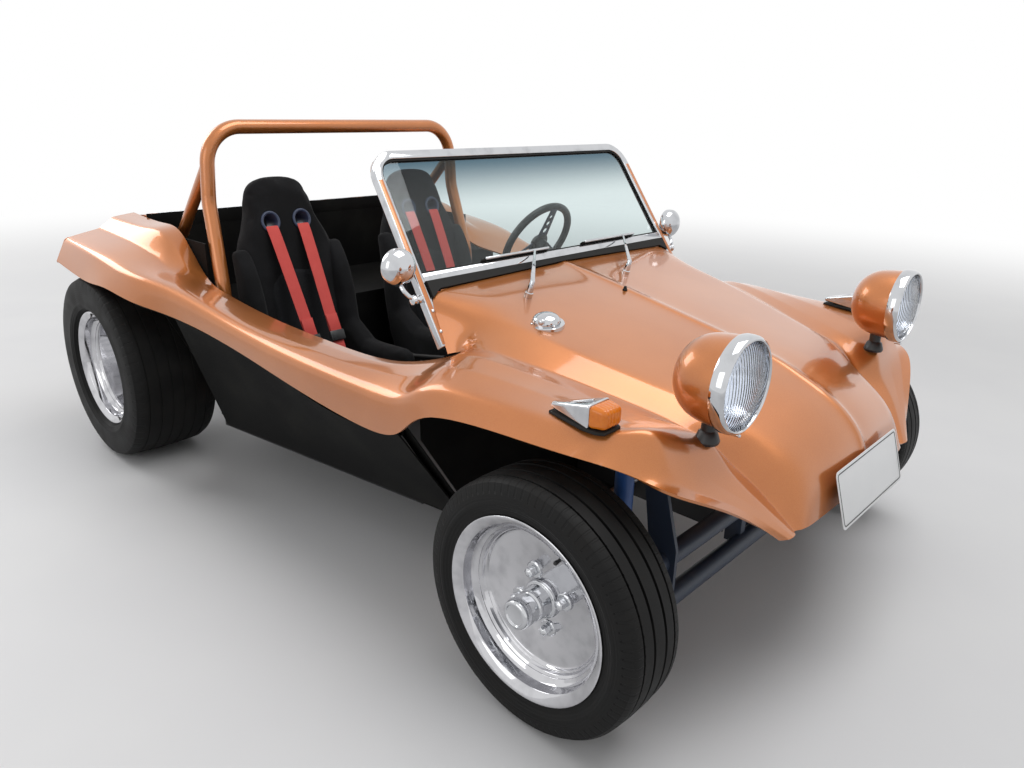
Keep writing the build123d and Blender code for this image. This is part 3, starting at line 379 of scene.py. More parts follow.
def shut(piece):
    """Merge what meets, turn all faces outwards and leave edit mode."""
    bpy.ops.mesh.select_all(action="SELECT")
    bpy.ops.mesh.remove_doubles(threshold=0.00002)
    bpy.ops.mesh.normals_make_consistent(inside=False)
    bpy.ops.object.mode_set(mode="OBJECT")
    bpy.ops.object.transform_apply(location=True, rotation=True, scale=True)
    return piece


def shape_with(piece, kind, **settings):
    """Add a modifier with its settings and apply it."""
    take(piece)
    modifier = piece.modifiers.new(kind.lower(), kind)
    for setting, value in settings.items():
        setattr(modifier, setting, value)
    bpy.ops.object.modifier_apply(modifier=modifier.name)


def fit(piece, finish, slot, *stands_for, body="chassis", smooth=35):
    """Smooth a finished piece, give it its finish and fix it to its body; the slot is not used."""
    take(piece)
    bpy.ops.object.shade_smooth_by_angle(angle=math.radians(smooth))
    if not piece.data.materials:
        piece.data.materials.append(finish.material)
    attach(piece, body)
    if stands_for:
        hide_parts(*stands_for)
    return piece


# station, height and tilt of each plane across the nose; then across and up in that plane, the
# hood's shoulder, the valley's foot, and the fender's inner edge, middle, crown and lip
nose_planes = [
    (-372, 430, 84, (292, -8), (322, -26), (335, -21), (348, -19), (362, -21), (376, -34)),
    (-350, 544, 66, (278, -28), (350, -90), (404, -74), (440, -72), (478, -68), (508, -62)),
    (-280, 619, 42, (288, -40), (368, -96), (430, -70), (505, -68), (578, -64), (627, -54)),
    (-220, 652, 30, (312, -42), (384, -82), (455, -36), (535, -35), (612, -38), (664, -57)),
    (-165, 675, 22, (333, -40), (410, -72), (460, -42), (548, -14), (618, 8), (688, -60)),
    (-110, 693, 18, (355, -36), (436, -66), (482, -50), (572, -27), (662, -10), (706, -70)),
    (20, 720, 12, (390, -30), (462, -62), (530, -56), (610, -44), (700, -42), (740, -87)),
    (300, 776, 6, (445, -24), (545, -62), (600, -66), (660, -78), (728, -106), (745, -168)),
    (440, 801, 0, (482, -14), (551, -112), (600, -127), (665, -146), (738, -183), (744, -269)),
]
nose_bends = [4, 8, 10, 12, 20, 24, 26, 26, 26]
# upright planes along the side: the rim's inner and outer edge, the deck, the crown and the lip
side_planes = [
    (620, (600, 628), (634, 629), (680, 620), (738, 598), (732, 500)),
    (900, (612, 619), (645, 622), (690, 620), (745, 606), (738, 525)),
    (1200, (616, 628), (650, 632), (700, 637), (762, 642), (752, 570)),
    (1480, (616, 652), (655, 665), (712, 680), (800, 702), (792, 612)),
    (1650, (608, 694), (655, 706), (715, 712), (840, 726), (850, 640)),
    (1800, (602, 811), (660, 806), (708, 752), (846, 742), (876, 664)),
    (1960, (600, 830), (668, 824), (718, 776), (850, 756), (880, 662)),
    (2222, (590, 837), (668, 828), (722, 789), (842, 767), (880, 690)),
]
skin_wall = 6
rib_half, rib_foot, rib_rise = 9, 16, 5


def outer_line(points):
    """The outer face's corners over an inner face's, one wall further out."""
    points = [Vector(p) for p in points]
    sides = [(b - a).normalized() for a, b in zip(points, points[1:])]
    outward = [Vector((-side.y, side.x)) for side in sides]
    outward = [outward[0], *outward, outward[-1]]
    return [
        p + (a + b) * skin_wall / (1 + a.dot(b)) for p, a, b in zip(points, outward, outward[1:])
    ]


def corner(before, here, after, bend):
    """The two cage points that round a corner about as its bend radius does."""
    reach_by_radius, most_of_side, least_bend = 0.75, 0.36, 2
    back, on = before - here, after - here
    turn = math.pi - back.angle(on)
    bend += skin_wall if back.x * on.y - back.y * on.x > 0 else -skin_wall
    reach = reach_by_radius * max(bend, least_bend) * math.tan(turn / 2)
    reaches = [min(reach, most_of_side * way.length) for way in (back, on)]
    return [here + way.normalized() * r for way, r in zip((back, on), reaches)]


def lifted(plane, points):
    """Points across and up in a leaning plane, as places on the car."""
    station, height, tilt = plane
    lean = math.radians(tilt)
    sway, rise = -math.sin(lean), math.cos(lean)
    return [spot(x, station + sway * up, height + rise * up) for x, up in points]


def hood_line(shoulder, foot, bend, last):
    """Cage points from the raised rib on the centre line to the foot of the hood's side."""
    edge, fall = shoulder
    across = [0, rib_half, rib_foot, 0.25 * edge, 0.5 * edge, 0.78 * edge]
    rise = [rib_rise, rib_rise, 0, 0, 0, 0]
    line = []
    for x, up in zip(across, rise):
        sag = fall / 4 + fall * (x / edge) ** 2 if x <= edge / 2 else fall * x / edge
        line.append(Vector((x, sag + up)))
    inner = [(0, -skin_wall), (edge, fall - skin_wall), (foot[0], foot[1] - skin_wall)]
    _, top, low = outer_line([*inner, last])[:3]
    line += corner(line[-1], top, low, bend)
    return line, top, low


def strip_line(corners, bend):
    """Cage points over a fender or sill, from its inner edge to its lip."""
    line = []
    for before, here, after in zip(corners, corners[1:], corners[2:]):
        line += corner(before, here, after, bend)
    return [*line, corners[-1]]


hood_edge_bend, cowl_bend, side_bend = 60, 30, 20
hoods, strips = [], []
for (*plane, shoulder, foot, edge, middle, crown, lip), bend in zip(nose_planes, nose_bends):
    line, top, low = hood_line(shoulder, foot, hood_edge_bend, edge)
    fender = outer_line([(foot[0], foot[1] - skin_wall), edge, middle, crown, lip])
    valley = corner(top, low, fender[1], max(bend, 10))
    line += [(top + low) / 2, valley[0]]
    hoods.append(lifted(plane, line))
    strips.append(lifted(plane, [valley[1], *strip_line([low, *fender[1:]], bend)]))
# the cowl's last row lies in the windscreen's plane, where its side falls to the sill
screen_station, screen_height, screen_tilt = 575, 824, 34.8
line, top, low = hood_line((532, -12), (553, -172), cowl_bend, (560, -225))
screen_plane = (screen_station, screen_height, -screen_tilt)
hoods.append(lifted(screen_plane, [*line, (top + low) / 2, low]))
for station, *corners in side_planes:
    corners = outer_line(corners)
    strips.append(lifted((station, 0, 0), [corners[0], *strip_line(corners, side_bend)]))


def passing(rows):
    """Move rows of cage points so that the smooth surface passes through where they were."""
    rounds = 12
    wanted = [[p.copy() for p in row] for row in rows]
    for _ in range(rounds):
        for before, here, after, goals in zip(rows, rows[1:], rows[2:], wanted[1:]):
            for a, p, b, goal in zip(before, here, after, goals):
                p += goal - (a + 4 * p + b) / 6


passing(hoods)
passing(strips)
for row in hoods:
    row[0].x = 0
nose_rows = [hood + strip for hood, strip in zip(hoods[:-1], strips)]
side_strips = strips[len(nose_rows):]
body_skin = begin("body_skin", nose_rows[0])
for row in [*nose_rows[1:], hoods[-1], *side_strips]:
    bpy.ops.mesh.select_all(action="DESELECT")
    draw(row)


def bridge(piece, *lines):
    """Join two drawn lines of the same count with faces."""
    places = [p for line in lines for p in line]
    pick(piece, lambda v: any((v.co - p).length < 1e-5 for p in places))
    bpy.ops.mesh.bridge_edge_loops()


cowl = hoods[-2:]
side_strips = strips[len(nose_rows) - 1:]
for rows in (nose_rows, cowl, side_strips):
    for first, second in zip(rows, rows[1:]):
        bridge(body_skin, first, second)
shut(body_skin)
shape_with(body_skin, "MIRROR", use_mirror_merge=True, merge_threshold=0.00001)
shape_with(body_skin, "SUBSURF", levels=3, render_levels=3, boundary_smooth="PRESERVE_CORNERS")
shape_with(body_skin, "SOLIDIFY", thickness=skin_wall / 1000, offset=-1, use_even_offset=True)
fit(body_skin, copper, "body_paint", "front_body", "side_sills", "rear_fenders", smooth=60)

# Cockpit lining: the sides and bulkheads of the tub and the luggage well behind the seats, of
# glass fibre with a black textured gel coat, bolted inside the body.
liner = Finish("black_liner", (0.006, 0.006, 0.006), Roughness=0.6, Specular_IOR_Level=0.08)
grain = liner.cells(520)
liner.feed(
    Base_Color=liner.mix(
        liner.steps(liner.noise(6, 4), 0.4, 0.75), (0.005, 0.005, 0.005), (0.011, 0.011, 0.010)
    ),
    Roughness=grain * 0.2 + 0.5,
)
liner.bump(grain, 0.0005, 0.5)
dress(liner, "tub_sides", "front_bulkhead", "rear_bulkhead", "rear_tub")

# Bright trim: chromed brass and steel, used for the frames, rims, caps and screws of the whole
# car. It is slightly cloudy where it is handled.
chrome = Finish("chrome", (0.60, 0.61, 0.63), Metallic=1.0, Roughness=0.06)
haze = chrome.steps(chrome.noise(22, 4), 0.45, 0.8)
chrome.feed(
    Base_Color=chrome.mix(haze, (0.60, 0.61, 0.63), (0.48, 0.49, 0.51)),
    Roughness=haze * 0.09 + 0.045,
)

# Windscreen: a bright frame of square tube with rounded top corners, whose posts run down as legs
# to the sills. Copper strips lie on the posts, small screws hold the legs, and the glass sits in
# a black gasket, over a rubber that seals the frame to the cowl.
rubber = Finish("rubber", (0.008, 0.008, 0.008), Roughness=0.7, Specular_IOR_Level=0.3)
rubber.feed(
    Base_Color=rubber.mix(rubber.noise(60, 3), (0.007, 0.007, 0.007), (0.013, 0.013, 0.012))
)
rubber.bump(rubber.noise(400, 2), 0.0003, 0.4)
dress(rubber, "screen_seal")

glass = Finish("screen_glass", (0.86, 0.95, 0.93), Roughness=0.0, IOR=1.35)
glass.shader.inputs["Transmission Weight"].default_value = 1.0
band_from, band_to = 0.98, 1.13
sun_band = glass.steps(glass.axis("Z"), band_from, band_to)
glass.feed(Base_Color=glass.mix(sun_band, (0.70, 0.80, 0.80), (0.03, 0.10, 0.15)))
dress(glass, "windscreen_glass")


def on_screen(x, up, out):
    """A place by its way across, up and proud of the windscreen's plane."""
    lean = math.radians(screen_tilt)
    station = screen_station + math.sin(lean) * up - math.cos(lean) * out
    return spot(x, station, screen_height + math.cos(lean) * up + math.sin(lean) * out)


def rounded(points, bend):
    """An open line with its corners rounded to a radius."""
    steps = 8
    points = [Vector(p) for p in points]
    line = [points[0]]
    for before, here, after in zip(points, points[1:], points[2:]):
        back, on = (before - here).normalized(), (after - here).normalized()
        turn = (math.pi - back.angle(on)) / 2
        middle = here + (back + on).normalized() * bend / math.cos(turn)
        arms = [here + way * bend * math.tan(turn) - middle for way in (back, on)]
        for step in range(steps + 1):
            share = step / steps
            arm = arms[0] * math.sin((1 - share) * 2 * turn) + arms[1] * math.sin(share * 2 * turn)
            line.append(middle + arm / math.sin(2 * turn))
    return [*line, points[-1]]


def beside(line, width):
    """A line moved sideways in its plane, to its left by the width."""
    sides = [(b - a).normalized() for a, b in zip(line, line[1:])]
    normals = [Vector((-s.y, s.x)) for s in sides]
    normals = [normals[0], *normals, normals[-1]]
    return [p + (a + b) * width / (1 + a.dot(b)) for p, a, b in zip(line, normals, normals[1:])]


def slab(name, outline, depth, edge=0.0, steps=3):
    """A flat piece: its outline drawn and filled, drawn out by a depth, its edges rounded."""
    piece = begin(name, [*outline, outline[0]])
    bpy.ops.mesh.select_all(action="SELECT")
    bpy.ops.mesh.remove_doubles(threshold=0.00002)
    bpy.ops.mesh.edge_face_add()
    bpy.ops.mesh.extrude_region_move(TRANSFORM_OT_translate={"value": depth})
    shut(piece)
    if edge:
        shape_with(piece, "BEVEL", width=edge, segments=steps, angle_limit=math.radians(40))
    return piece


def screen_band(name, line, left, right, front, back, edge=0.0015):
    """A strip of the frame along a line in the screen's plane, from its front to its back."""
    outline = beside(line, left) + beside(line, right)[::-1]
    depth = on_screen(0, 0, back) - on_screen(0, 0, front)
    return slab(name, [on_screen(p.x, p.y, front) for p in outline], depth, edge)


tube_half, tube_back = 12, -24
gasket_front, gasket_back = -5, -19
post_line = [(-553, -158), (-531, 375), (531, 375), (553, -158)]
frame_line = rounded(post_line, 66)
edges = (tube_half, -tube_half)
surround = screen_band("screen_surround", frame_line, *edges, 0, tube_back, 0.0025)
fit(surround, chrome, "chrome", "windscreen_frame")
rail_line = [Vector((-534, 28)), Vector((534, 28))]
low_rail = screen_band("screen_low_rail", rail_line, *edges, 0.4, tube_back, 0.003)
fit(low_rail, chrome, "chrome")
for side, (foot, top), edges in (
    ("right", post_line[:2], (9, -4.5)),
    ("left", post_line[:1:-1], (4.5, -9)),
):
    foot, top = Vector(foot), Vector(top)
    reach = [foot.lerp(top, 0.012), foot.lerp(top, 0.87)]
    strip = screen_band(f"post_strip_{side}", reach, *edges, 1.2, tube_back - 1.2, 0.001)
    fit(strip, copper, "body_paint")
gasket_line = rounded([(-537, 40), (-519.5, 363), (519.5, 363), (537, 40)], 54)
gasket = screen_band("glass_gasket", gasket_line, 0.5, -5, gasket_front, gasket_back, 0.001)
fit(gasket, rubber, "rubber")
gasket_line = [Vector((-534, 40)), Vector((534, 40))]
depths = (gasket_front, gasket_back)
low_gasket = screen_band("glass_gasket_low", gasket_line, 5, -0.5, *depths, 0.001)
fit(low_gasket, rubber, "rubber")


def turned(name, profile, middle, axle, count=56):
    """A turned piece: millimetres along and away from an axle, spun about it."""
    axle = Vector(axle).normalized()
    out = axle.orthogonal().normalized()
    line = [middle + axle * along / 1000 + out * away / 1000 for along, away in profile]
    piece = begin(name, line)
    bpy.ops.mesh.select_all(action="SELECT")
    bpy.ops.mesh.spin(steps=count, angle=math.tau, center=middle, axis=axle)
    return shut(piece)


def copied(piece, name, move=(0, 0, 0), across=False, turn=0.0, about=(0, 0, 0)):
    """A copy with its own mesh: moved, turned about a line along X, or mirrored across."""
    take(piece)
    bpy.ops.object.duplicate()
    twin = bpy.context.object
    twin.name = name
    bpy.ops.object.mode_set(mode="EDIT")
    bpy.ops.mesh.select_all(action="SELECT")
    if turn:
        bpy.ops.transform.rotate(value=turn, orient_axis="X", center_override=about)
    if any(move):
        bpy.ops.transform.translate(value=move)
    if across:
        bpy.ops.transform.resize(value=(-1, 1, 1), center_override=(0, 0, 0))
        bpy.ops.mesh.flip_normals()
    bpy.ops.object.mode_set(mode="OBJECT")
    return twin


def opposite(piece):
    """The mirror image of a left-hand piece, on the car's right."""
    return copied(piece, piece.name.replace("left", "right"), across=True)


def fit_pair(piece, finish, slot, *stands_for):
    """Fit a left-hand piece and its mirror image to the chassis."""
    fit(piece, finish, slot, *stands_for)
    fit(opposite(piece), finish, slot)


screen_out = on_screen(0, 0, 1) - on_screen(0, 0, 0)
screw_head = [(-1, 5), (1.2, 5), (2.6, 3.6), (3.1, 1.6), (3.1, 0)]
leg_x, leg_foot, leg_slope = 553, -158, 22 / 533
for count, up in enumerate((-62, -118)):
    x = leg_x - (up - leg_foot) * leg_slope
    screw = turned(f"leg_screw_{count}_left", screw_head, on_screen(x, up, 1.2), screen_out, 20)
    fit_pair(screw, chrome, "chrome")

# Rear edge of the cockpit: the black lining is carried up to the panel's top, and a bright strip
# finishes its edge.
edge_half, apron_foot, apron_top, trim_top = 592, 797, 847.5, 851
corners = ((-1, apron_foot), (1, apron_foot), (1, apron_top), (-1, apron_top))
apron_line = [spot(side * edge_half, 2103.2, z) for side, z in corners]
fit(slab("tub_apron", apron_line, Vector((0, 0.0035, 0)), 0.0008), liner, "black_liner")
trim_foot = apron_top + 0.1
corners = ((-1, trim_foot), (1, trim_foot), (1, trim_top), (-1, trim_top))
trim_line = [spot(side * edge_half, 2102.4, z) for side, z in corners]
fit(slab("tub_trim", trim_line, Vector((0, 0.006, 0)), 0.001), chrome, "chrome")

# Wipers: a spindle through the cowl with a chrome cone, a flat arm that tapers to its tip, and a
# black blade that rests along the foot of the glass. Both arms lean to the car's left.
def between(name, start, end, half_widths, thickness, flat):
    """A flat tapering bar from one point to another; flat is the direction it is thin in."""
    run = (end - start).normalized()
    side = run.cross(flat).normalized()
    flat = side.cross(run).normalized()
    wide, narrow = half_widths
    outline = [start - side * wide, end - side * narrow, end + side * narrow, start + side * wide]
    outline = [p - flat * thickness / 2 for p in outline]
    return slab(name, outline, flat * thickness, thickness * 0.35)


black_trim = Finish("black_plastic", (0.015, 0.015, 0.016), Roughness=0.4)
black_trim.feed(
    Base_Color=black_trim.mix(
        black_trim.noise(30, 4), (0.012, 0.012, 0.013), (0.02, 0.02, 0.021)
    )
)
black_trim.bump(black_trim.cells(600), 0.0002, 0.4)
cone = [(-24, 11), (-8, 11), (-6, 9), (8, 8.4), (22, 6), (26, 4), (27, 0)]
blade_up, tip_across = 46, 196
for name, x, stands_for in (("right", -315, ["wipers"]), ("left", 115, [])):
    spindle = turned(f"wiper_spindle_{name}", cone, spot(x, 425, 812), (0, -0.35, 1), 32)
    fit(spindle, chrome, "chrome", *stands_for)
    ends = [spot(x, 418, 832), on_screen(x + tip_across, blade_up - 2, 16)]
    flat = Vector((0, -0.5, 1))
    arm = between(f"wiper_arm_{name}", *ends, (0.0065, 0.0032), 0.0035, flat)
    fit(arm, chrome, "chrome")
    ends = [on_screen(x + dx, blade_up, 12) for dx in (2, 262)]
    carrier = between(f"wiper_carrier_{name}", *ends, (0.0035, 0.0035), 0.006, screen_out)
    fit(carrier, chrome, "chrome")
    ends = [on_screen(x + dx, blade_up, 2) for dx in (-6, 270)]
    blade = between(f"wiper_blade_{name}", *ends, (0.0024, 0.0024), 0.014, screen_out)
    fit(blade, rubber, "rubber")

# Fuel cap on the hood: a chromed flange held by small screws, and a domed cap with two lugs that
# turns on it.
cap_axle = Vector((-5, -2, 40)).normalized()
cap_seat = spot(-380, 311, 757)


def on_cap(angle, away, up):
    """A place round the fuel cap, by its angle, distance from the middle and height, in metres."""
    return cap_seat + Vector((math.cos(angle), math.sin(angle), 0)) * away + cap_axle * up


flange = [(-8, 0), (-8, 46), (1, 46), (3, 44), (3, 36), (0, 35), (0, 0)]
fit(turned("fuel_flange", flange, cap_seat, cap_axle), chrome, "chrome", "fuel_cap")
dome = [(0, 0), (0, 35), (10, 35), (15, 33), (21, 27), (25, 18), (27, 9), (27.5, 0)]
fit(turned("fuel_dome", dome, cap_seat, cap_axle), chrome, "chrome")
for count in range(2):
    ends = [on_cap(0.4 + count * math.pi, away, 0.012) for away in (0.031, 0.042)]
    lug = between(f"fuel_lug_{count}", *ends, (0.009, 0.007), 0.016, cap_axle)
    fit(lug, chrome, "chrome")
cap_screw = [(-1, 3), (1, 3), (2, 1.6), (2, 0)]
for count in range(4):
    place = on_cap(1.2 + count * math.pi / 2, 0.0405, 0.003)
    fit(turned(f"fuel_screw_{count}", cap_screw, place, cap_axle, 16), chrome, "chrome")

# Door mirrors: a chromed bowl that faces forward, its glass behind, and a curved arm to a clamp
# with a round knob on the windscreen post.
def flowing(points, steps=5):
    """A smooth line through points."""
    points = [Vector(p) for p in points]
    ends = [2 * points[0] - points[1], *points, 2 * points[-1] - points[-2]]
    line = []
    for a, b, c, d in zip(ends, ends[1:], ends[2:], ends[3:]):
        for step in range(steps):
            t = step / steps
            square, cube = 2 * a - 5 * b + 4 * c - d, 3 * b - a - 3 * c + d
            line.append((b * 2 + (c - a) * t + square * t**2 + cube * t**3) / 2)
    return [*line, points[-1]]


def piped(name, line, radius, sides=12):
    """A round rod along a line."""
    begin(name, line)
    bpy.ops.object.mode_set(mode="OBJECT")
    bpy.ops.object.convert(target="CURVE")
    rod = bpy.context.object
    rod.data.bevel_depth, rod.data.bevel_resolution = radius, sides // 4
    rod.data.use_fill_caps = True
    bpy.ops.object.convert(target="MESH")
    bpy.ops.object.mode_set(mode="EDIT")
    return shut(bpy.context.object)


mirror_at, rearward = spot(604, 600, 880), (0, 1, 0)
bowl = flowing([(10, 46.5), (0, 47), (-10, 45), (-20, 37), (-28, 23), (-32, 0)], 4)
bowl = [(8, 0), (8, 43), (11, 44), (12, 46), *bowl]
fit_pair(turned("mirror_head_left", bowl, mirror_at, rearward), chrome, "chrome", "mirrors")
arm_line = [(604, 596, 838), (601, 584, 822), (590, 574, 808), (570, 571, 801)]
arm_line = flowing([spot(*place) for place in arm_line], 6)
fit_pair(piped("mirror_arm_left", arm_line, 0.0055), chrome, "chrome")
knob = [(-10, 0), (-10, 10), (0, 11), (4, 8), (8, 8), (10, 11), (16, 13), (22, 11), (24, 6)]
knob = turned("mirror_knob_left", [*knob, (24, 0)], spot(566, 571, 800), (1, 0, 0), 32)
fit_pair(knob, chrome, "chrome")
pane = turned("mirror_glass_left", [(7, 0), (7, 42), (9, 42), (9, 0)], mirror_at, rearward)
fit_pair(pane, chrome, "chrome")

# Sealing strips: black flanges that close the lining to the sill's lip along its inside, and the
# front corners of the cockpit between the lining and the bulkhead.
def banded(name, first, second, depth):
    """A piece spanned between two drawn lines of the same count, and drawn out by a depth."""
    piece = begin(name, first)
    bpy.ops.mesh.select_all(action="DESELECT")
    draw(second)
    bpy.ops.mesh.select_all(action="SELECT")
    bpy.ops.mesh.remove_doubles(threshold=0.00002)
    bpy.ops.mesh.bridge_edge_loops()
    bpy.ops.mesh.select_all(action="SELECT")
    bpy.ops.mesh.extrude_region_move(TRANSFORM_OT_translate={"value": depth})
    return shut(piece)


inset = 4
lips = [(738, 440, 532)]
lips += [(corners[-1][0], station, corners[-1][1]) for station, *corners in side_planes[:5]]
flange_half = Vector((0, 0, 0.014))
for name, side in (("left", 1), ("right", -1)):
    line = flowing([spot(side * (x - inset), station, z + inset) for x, station, z in lips], 5)
    upper, lower = [p + flange_half for p in line], [p - flange_half for p in line]
    flange = banded(f"sill_flange_{name}", upper, lower, (-side * 0.003, 0, 0))
    fit(flange, liner, "black_liner")
    corner_line = [(738, 428, 556), (738, 480, 556), (522, 480, 212), (512, 428, 212)]
    corner_line = [spot(side * x, station, z) for x, station, z in corner_line]
    filler = slab(f"cockpit_corner_{name}", corner_line, Vector((-side * 0.004, 0, 0)), 0.001)
    fit(filler, liner, "black_liner")

# Dashboard: a large round instrument and three small ones, with chrome bezels over black dials,
# pressed into the copper panel behind the windscreen. The dials are blank but for their pointers.
towards_driver = -screen_out
dials_up, panel_out = -62, -14.2
dials = (("speed", 309, 52), ("oil", 199, 27), ("fuel", 129, 27), ("clock", 419, 27))
for name, x, dial_r in dials:
    seat = on_screen(x, dials_up, panel_out)
    bezel = [(-6, dial_r - 4), (-6, dial_r + 1.5), (2, dial_r + 1.5), (4, dial_r)]
    bezel += [(4.5, dial_r - 2.5), (3, dial_r - 5), (0.8, dial_r - 5), (0.8, dial_r - 4), bezel[0]]
    fit(turned(f"bezel_{name}", bezel, seat, towards_driver, 48), chrome, "chrome")
    disc = [(0, 0), (0, dial_r - 4), (1, dial_r - 4), (1, 0)]
    disc = turned(f"dial_{name}", disc, seat, towards_driver, 40)
    fit(disc, black_trim, "black_plastic")
    middle = on_screen(x, dials_up, -16)
    far = on_screen(x - 0.62 * dial_r, dials_up - 0.35 * dial_r, -16)
    half_widths = (0.0022, 0.0006)
    pointer = between(f"pointer_{name}", middle, far, half_widths, 0.0008, towards_driver)
    fit(pointer, chrome, "chrome")

# Floor controls: rubber pads with rounded edges on the pedals, and a ribbed boot at the gear
# lever's foot.
pad_station, pad_height = 540.2, 329
pad_line = rounded([(-31, 0), (-31, 35), (31, 35), (31, -35), (-31, -35), (-31, -1)], 8)
for name, x in (("clutch", 214), ("brake", 309), ("throttle", 404)):
    places = [spot(x + p.x, pad_station, pad_height + p.y) for p in pad_line]
    pad = slab(f"pedal_pad_{name}", places, Vector((0, 0.005, 0)), 0.0015, 2)
    fit(pad, rubber, "rubber")
boot = [(29, 0), (29, 35), (34, 34), (40, 27), (46, 28), (52, 21), (58, 22), (66, 13), (72, 9)]
boot = turned("lever_boot", [*boot, (72, 0)], spot(0, 981, 330), (0, 60, 280), 32)
fit(boot, rubber, "rubber")

# Roll bar: bent steel tube painted with the body. Each of its four feet is a plate that four
# hexagon bolts with washers hold down.
def joined(pieces, name):
    """Join pieces into one, in their order."""
    take(pieces[0])
    for piece in pieces:
        piece.select_set(True)
    bpy.ops.object.join()
    pieces[0].name = name
    return pieces[0]


def bolt_heads(name, places, axle, across):
    """Hexagon heads on washers at places, all facing along an axle, joined as one piece."""
    axle = Vector(axle).normalized()
    washer = [(0, 0), (0, across), (1.4, across), (1.4, 0)]
    tall = across * 0.0008
    heads = []
    for place in places:
        heads.append(turned(name, washer, place, axle, 20))
        bpy.ops.object.select_all(action="DESELECT")
        bpy.ops.mesh.primitive_cylinder_add(
            vertices=6,
            radius=across * 0.00076,
            depth=tall,
            location=place + axle * (0.0014 + across * 0.0004),
            rotation=axle.to_track_quat("Z", "Y").to_euler(),
        )
        head = bpy.context.object
        bpy.ops.object.transform_apply(location=True, rotation=True)
        edge = across * 0.00007
        shape_with(head, "BEVEL", width=edge, segments=2, angle_limit=math.radians(30))
        heads.append(head)
    return joined(heads, name)


for name, side in (("left", 1), ("right", -1)):
    places = [spot(side * 570 + dx, 1590 + ds, 215.4) for dx in (-34, 34) for ds in (-25, 25)]
    bolts = bolt_heads(f"hoop_foot_bolts_{name}", places, (0, 0, 1), 9)
    fit(bolts, bright_steel, "steel")
    places = [spot(side * 518 + dx, 2098.6, 624 + up) for dx in (-29, 29) for up in (-36, 36)]
    bolts = bolt_heads(f"brace_foot_bolts_{name}", places, (0, -1, 0), 8)
    fit(bolts, bright_steel, "steel")

# Washer jet: a small black nozzle of moulded rubber, pushed into the cowl in front of the
# windscreen.
jet = [(-4, 0), (-4, 7), (1, 7), (3, 5), (8, 4.5), (10, 3), (10, 0)]
fit(turned("washer_jet", jet, spot(-15, 338, 781), (0, -0.1, 1), 20), rubber, "rubber")

# Headlamps: copper bowls on short dark stalks, each with a wide chrome rim held by a screw, a
# bright reflector and a domed glass with upright flutes.
lens = Finish("lamp_glass", (0.95, 0.97, 1.0), Roughness=0.04, IOR=1.3)
lens.shader.inputs["Transmission Weight"].default_value = 1.0
lens.feed(Base_Color=lens.mix(lens.noise(60), (0.90, 0.94, 1.0), (0.97, 0.985, 1.0)))
lens.bump((lens.axis("X") * 780).wave(), 0.0006, 0.5)
silvered = Finish("lamp_silver", (0.86, 0.88, 0.92), Metallic=1.0, Roughness=0.16)
silvered.feed(
    Base_Color=silvered.mix(silvered.noise(20), (0.80, 0.83, 0.90), (0.92, 0.94, 0.98))
)

lamp_at = spot(459, -263, 765)
shell = flowing([(20, 95), (50, 93), (84, 87.5), (108, 76), (126, 58), (138, 32), (142, 0)], 4)
bowl = turned("headlamp_bowl_left", [(20, 90), *shell], lamp_at, rearward, 72)
fit_pair(bowl, copper, "pod_paint", "headlamps")
rim = [(24, 91), (24, 98), (18, 100), (8, 100), (0, 99), (-5, 96.5), (-7, 93), (-6, 90)]
rim += [(-2, 88.5), (10, 88), (12, 91), (24, 91)]
fit_pair(turned("headlamp_rim_left", rim, lamp_at, rearward, 72), chrome, "chrome")
dish = flowing([(12, 88), (30, 80), (55, 62), (76, 38), (84, 14), (84, 0)], 4)
fit_pair(turned("headlamp_reflector_left", dish, lamp_at, rearward, 64), silvered, "chrome")
bulb = [(84, 11), (60, 11), (58, 8), (40, 8), (34, 6), (32, 0)]
fit_pair(turned("headlamp_bulb_left", bulb, lamp_at, rearward, 24), silvered, "chrome")
glass_wall = 3
front = flowing([(-15, 0), (-14, 24), (-10, 50), (-4, 74), (4, 88.4)], 4)
inside = [(along + glass_wall, away) for along, away in reversed(front)]
inside[0] = (4 + glass_wall, 88.4)
domed = turned("headlamp_glass_left", front + inside, lamp_at, rearward, 72)
fit_pair(domed, lens, "lamp_glass", "headlamp_lenses")
stalk = [(0, 0), (0, 15), (-36, 15), (-40, 20), (-58, 26), (-64, 24), (-64, 0)]
stalk = turned("headlamp_stalk_left", stalk, spot(459, -196, 690), (0, 0, 1), 32)
fit_pair(stalk, black_trim, "black_plastic")
screw = [(-6, 4), (9, 4), (11, 2.5), (11, 0)]
screw_at = lamp_at + Vector((0, 0.008, -0.1035))
fit_pair(turned("headlamp_screw_left", screw, screw_at, (0, -1, 0), 16), chrome, "chrome")

# Turn signals: chromed teardrop housings with a pressed ridge, which stand on black gaskets on the
# fenders, with ribbed amber lenses in front.
amber = Finish("amber_lens", (0.75, 0.20, 0.01), Roughness=0.12)
amber.feed(Base_Color=amber.mix(amber.noise(90), (0.72, 0.15, 0.006), (0.90, 0.27, 0.02)))
amber.bump((amber.axis("X") * 700).wave(), 0.0004, 0.6)
signal_at = spot(668, -112, 712)


def on_signal(x, y, z):
    """A place on the left turn signal, from the middle of its lens, in metres."""
    return signal_at + Vector((x, y, z))


def block(name, low, high):
    """Start a piece as a block between two corners, and stay in edit mode."""
    bpy.ops.object.select_all(action="DESELECT")
    bpy.ops.mesh.primitive_cube_add(size=1, location=(low + high) / 2, scale=high - low)
    piece = bpy.context.object
    piece.name = name
    bpy.ops.object.transform_apply(location=True, rotation=True, scale=True)
    bpy.ops.object.mode_set(mode="EDIT")
    return piece


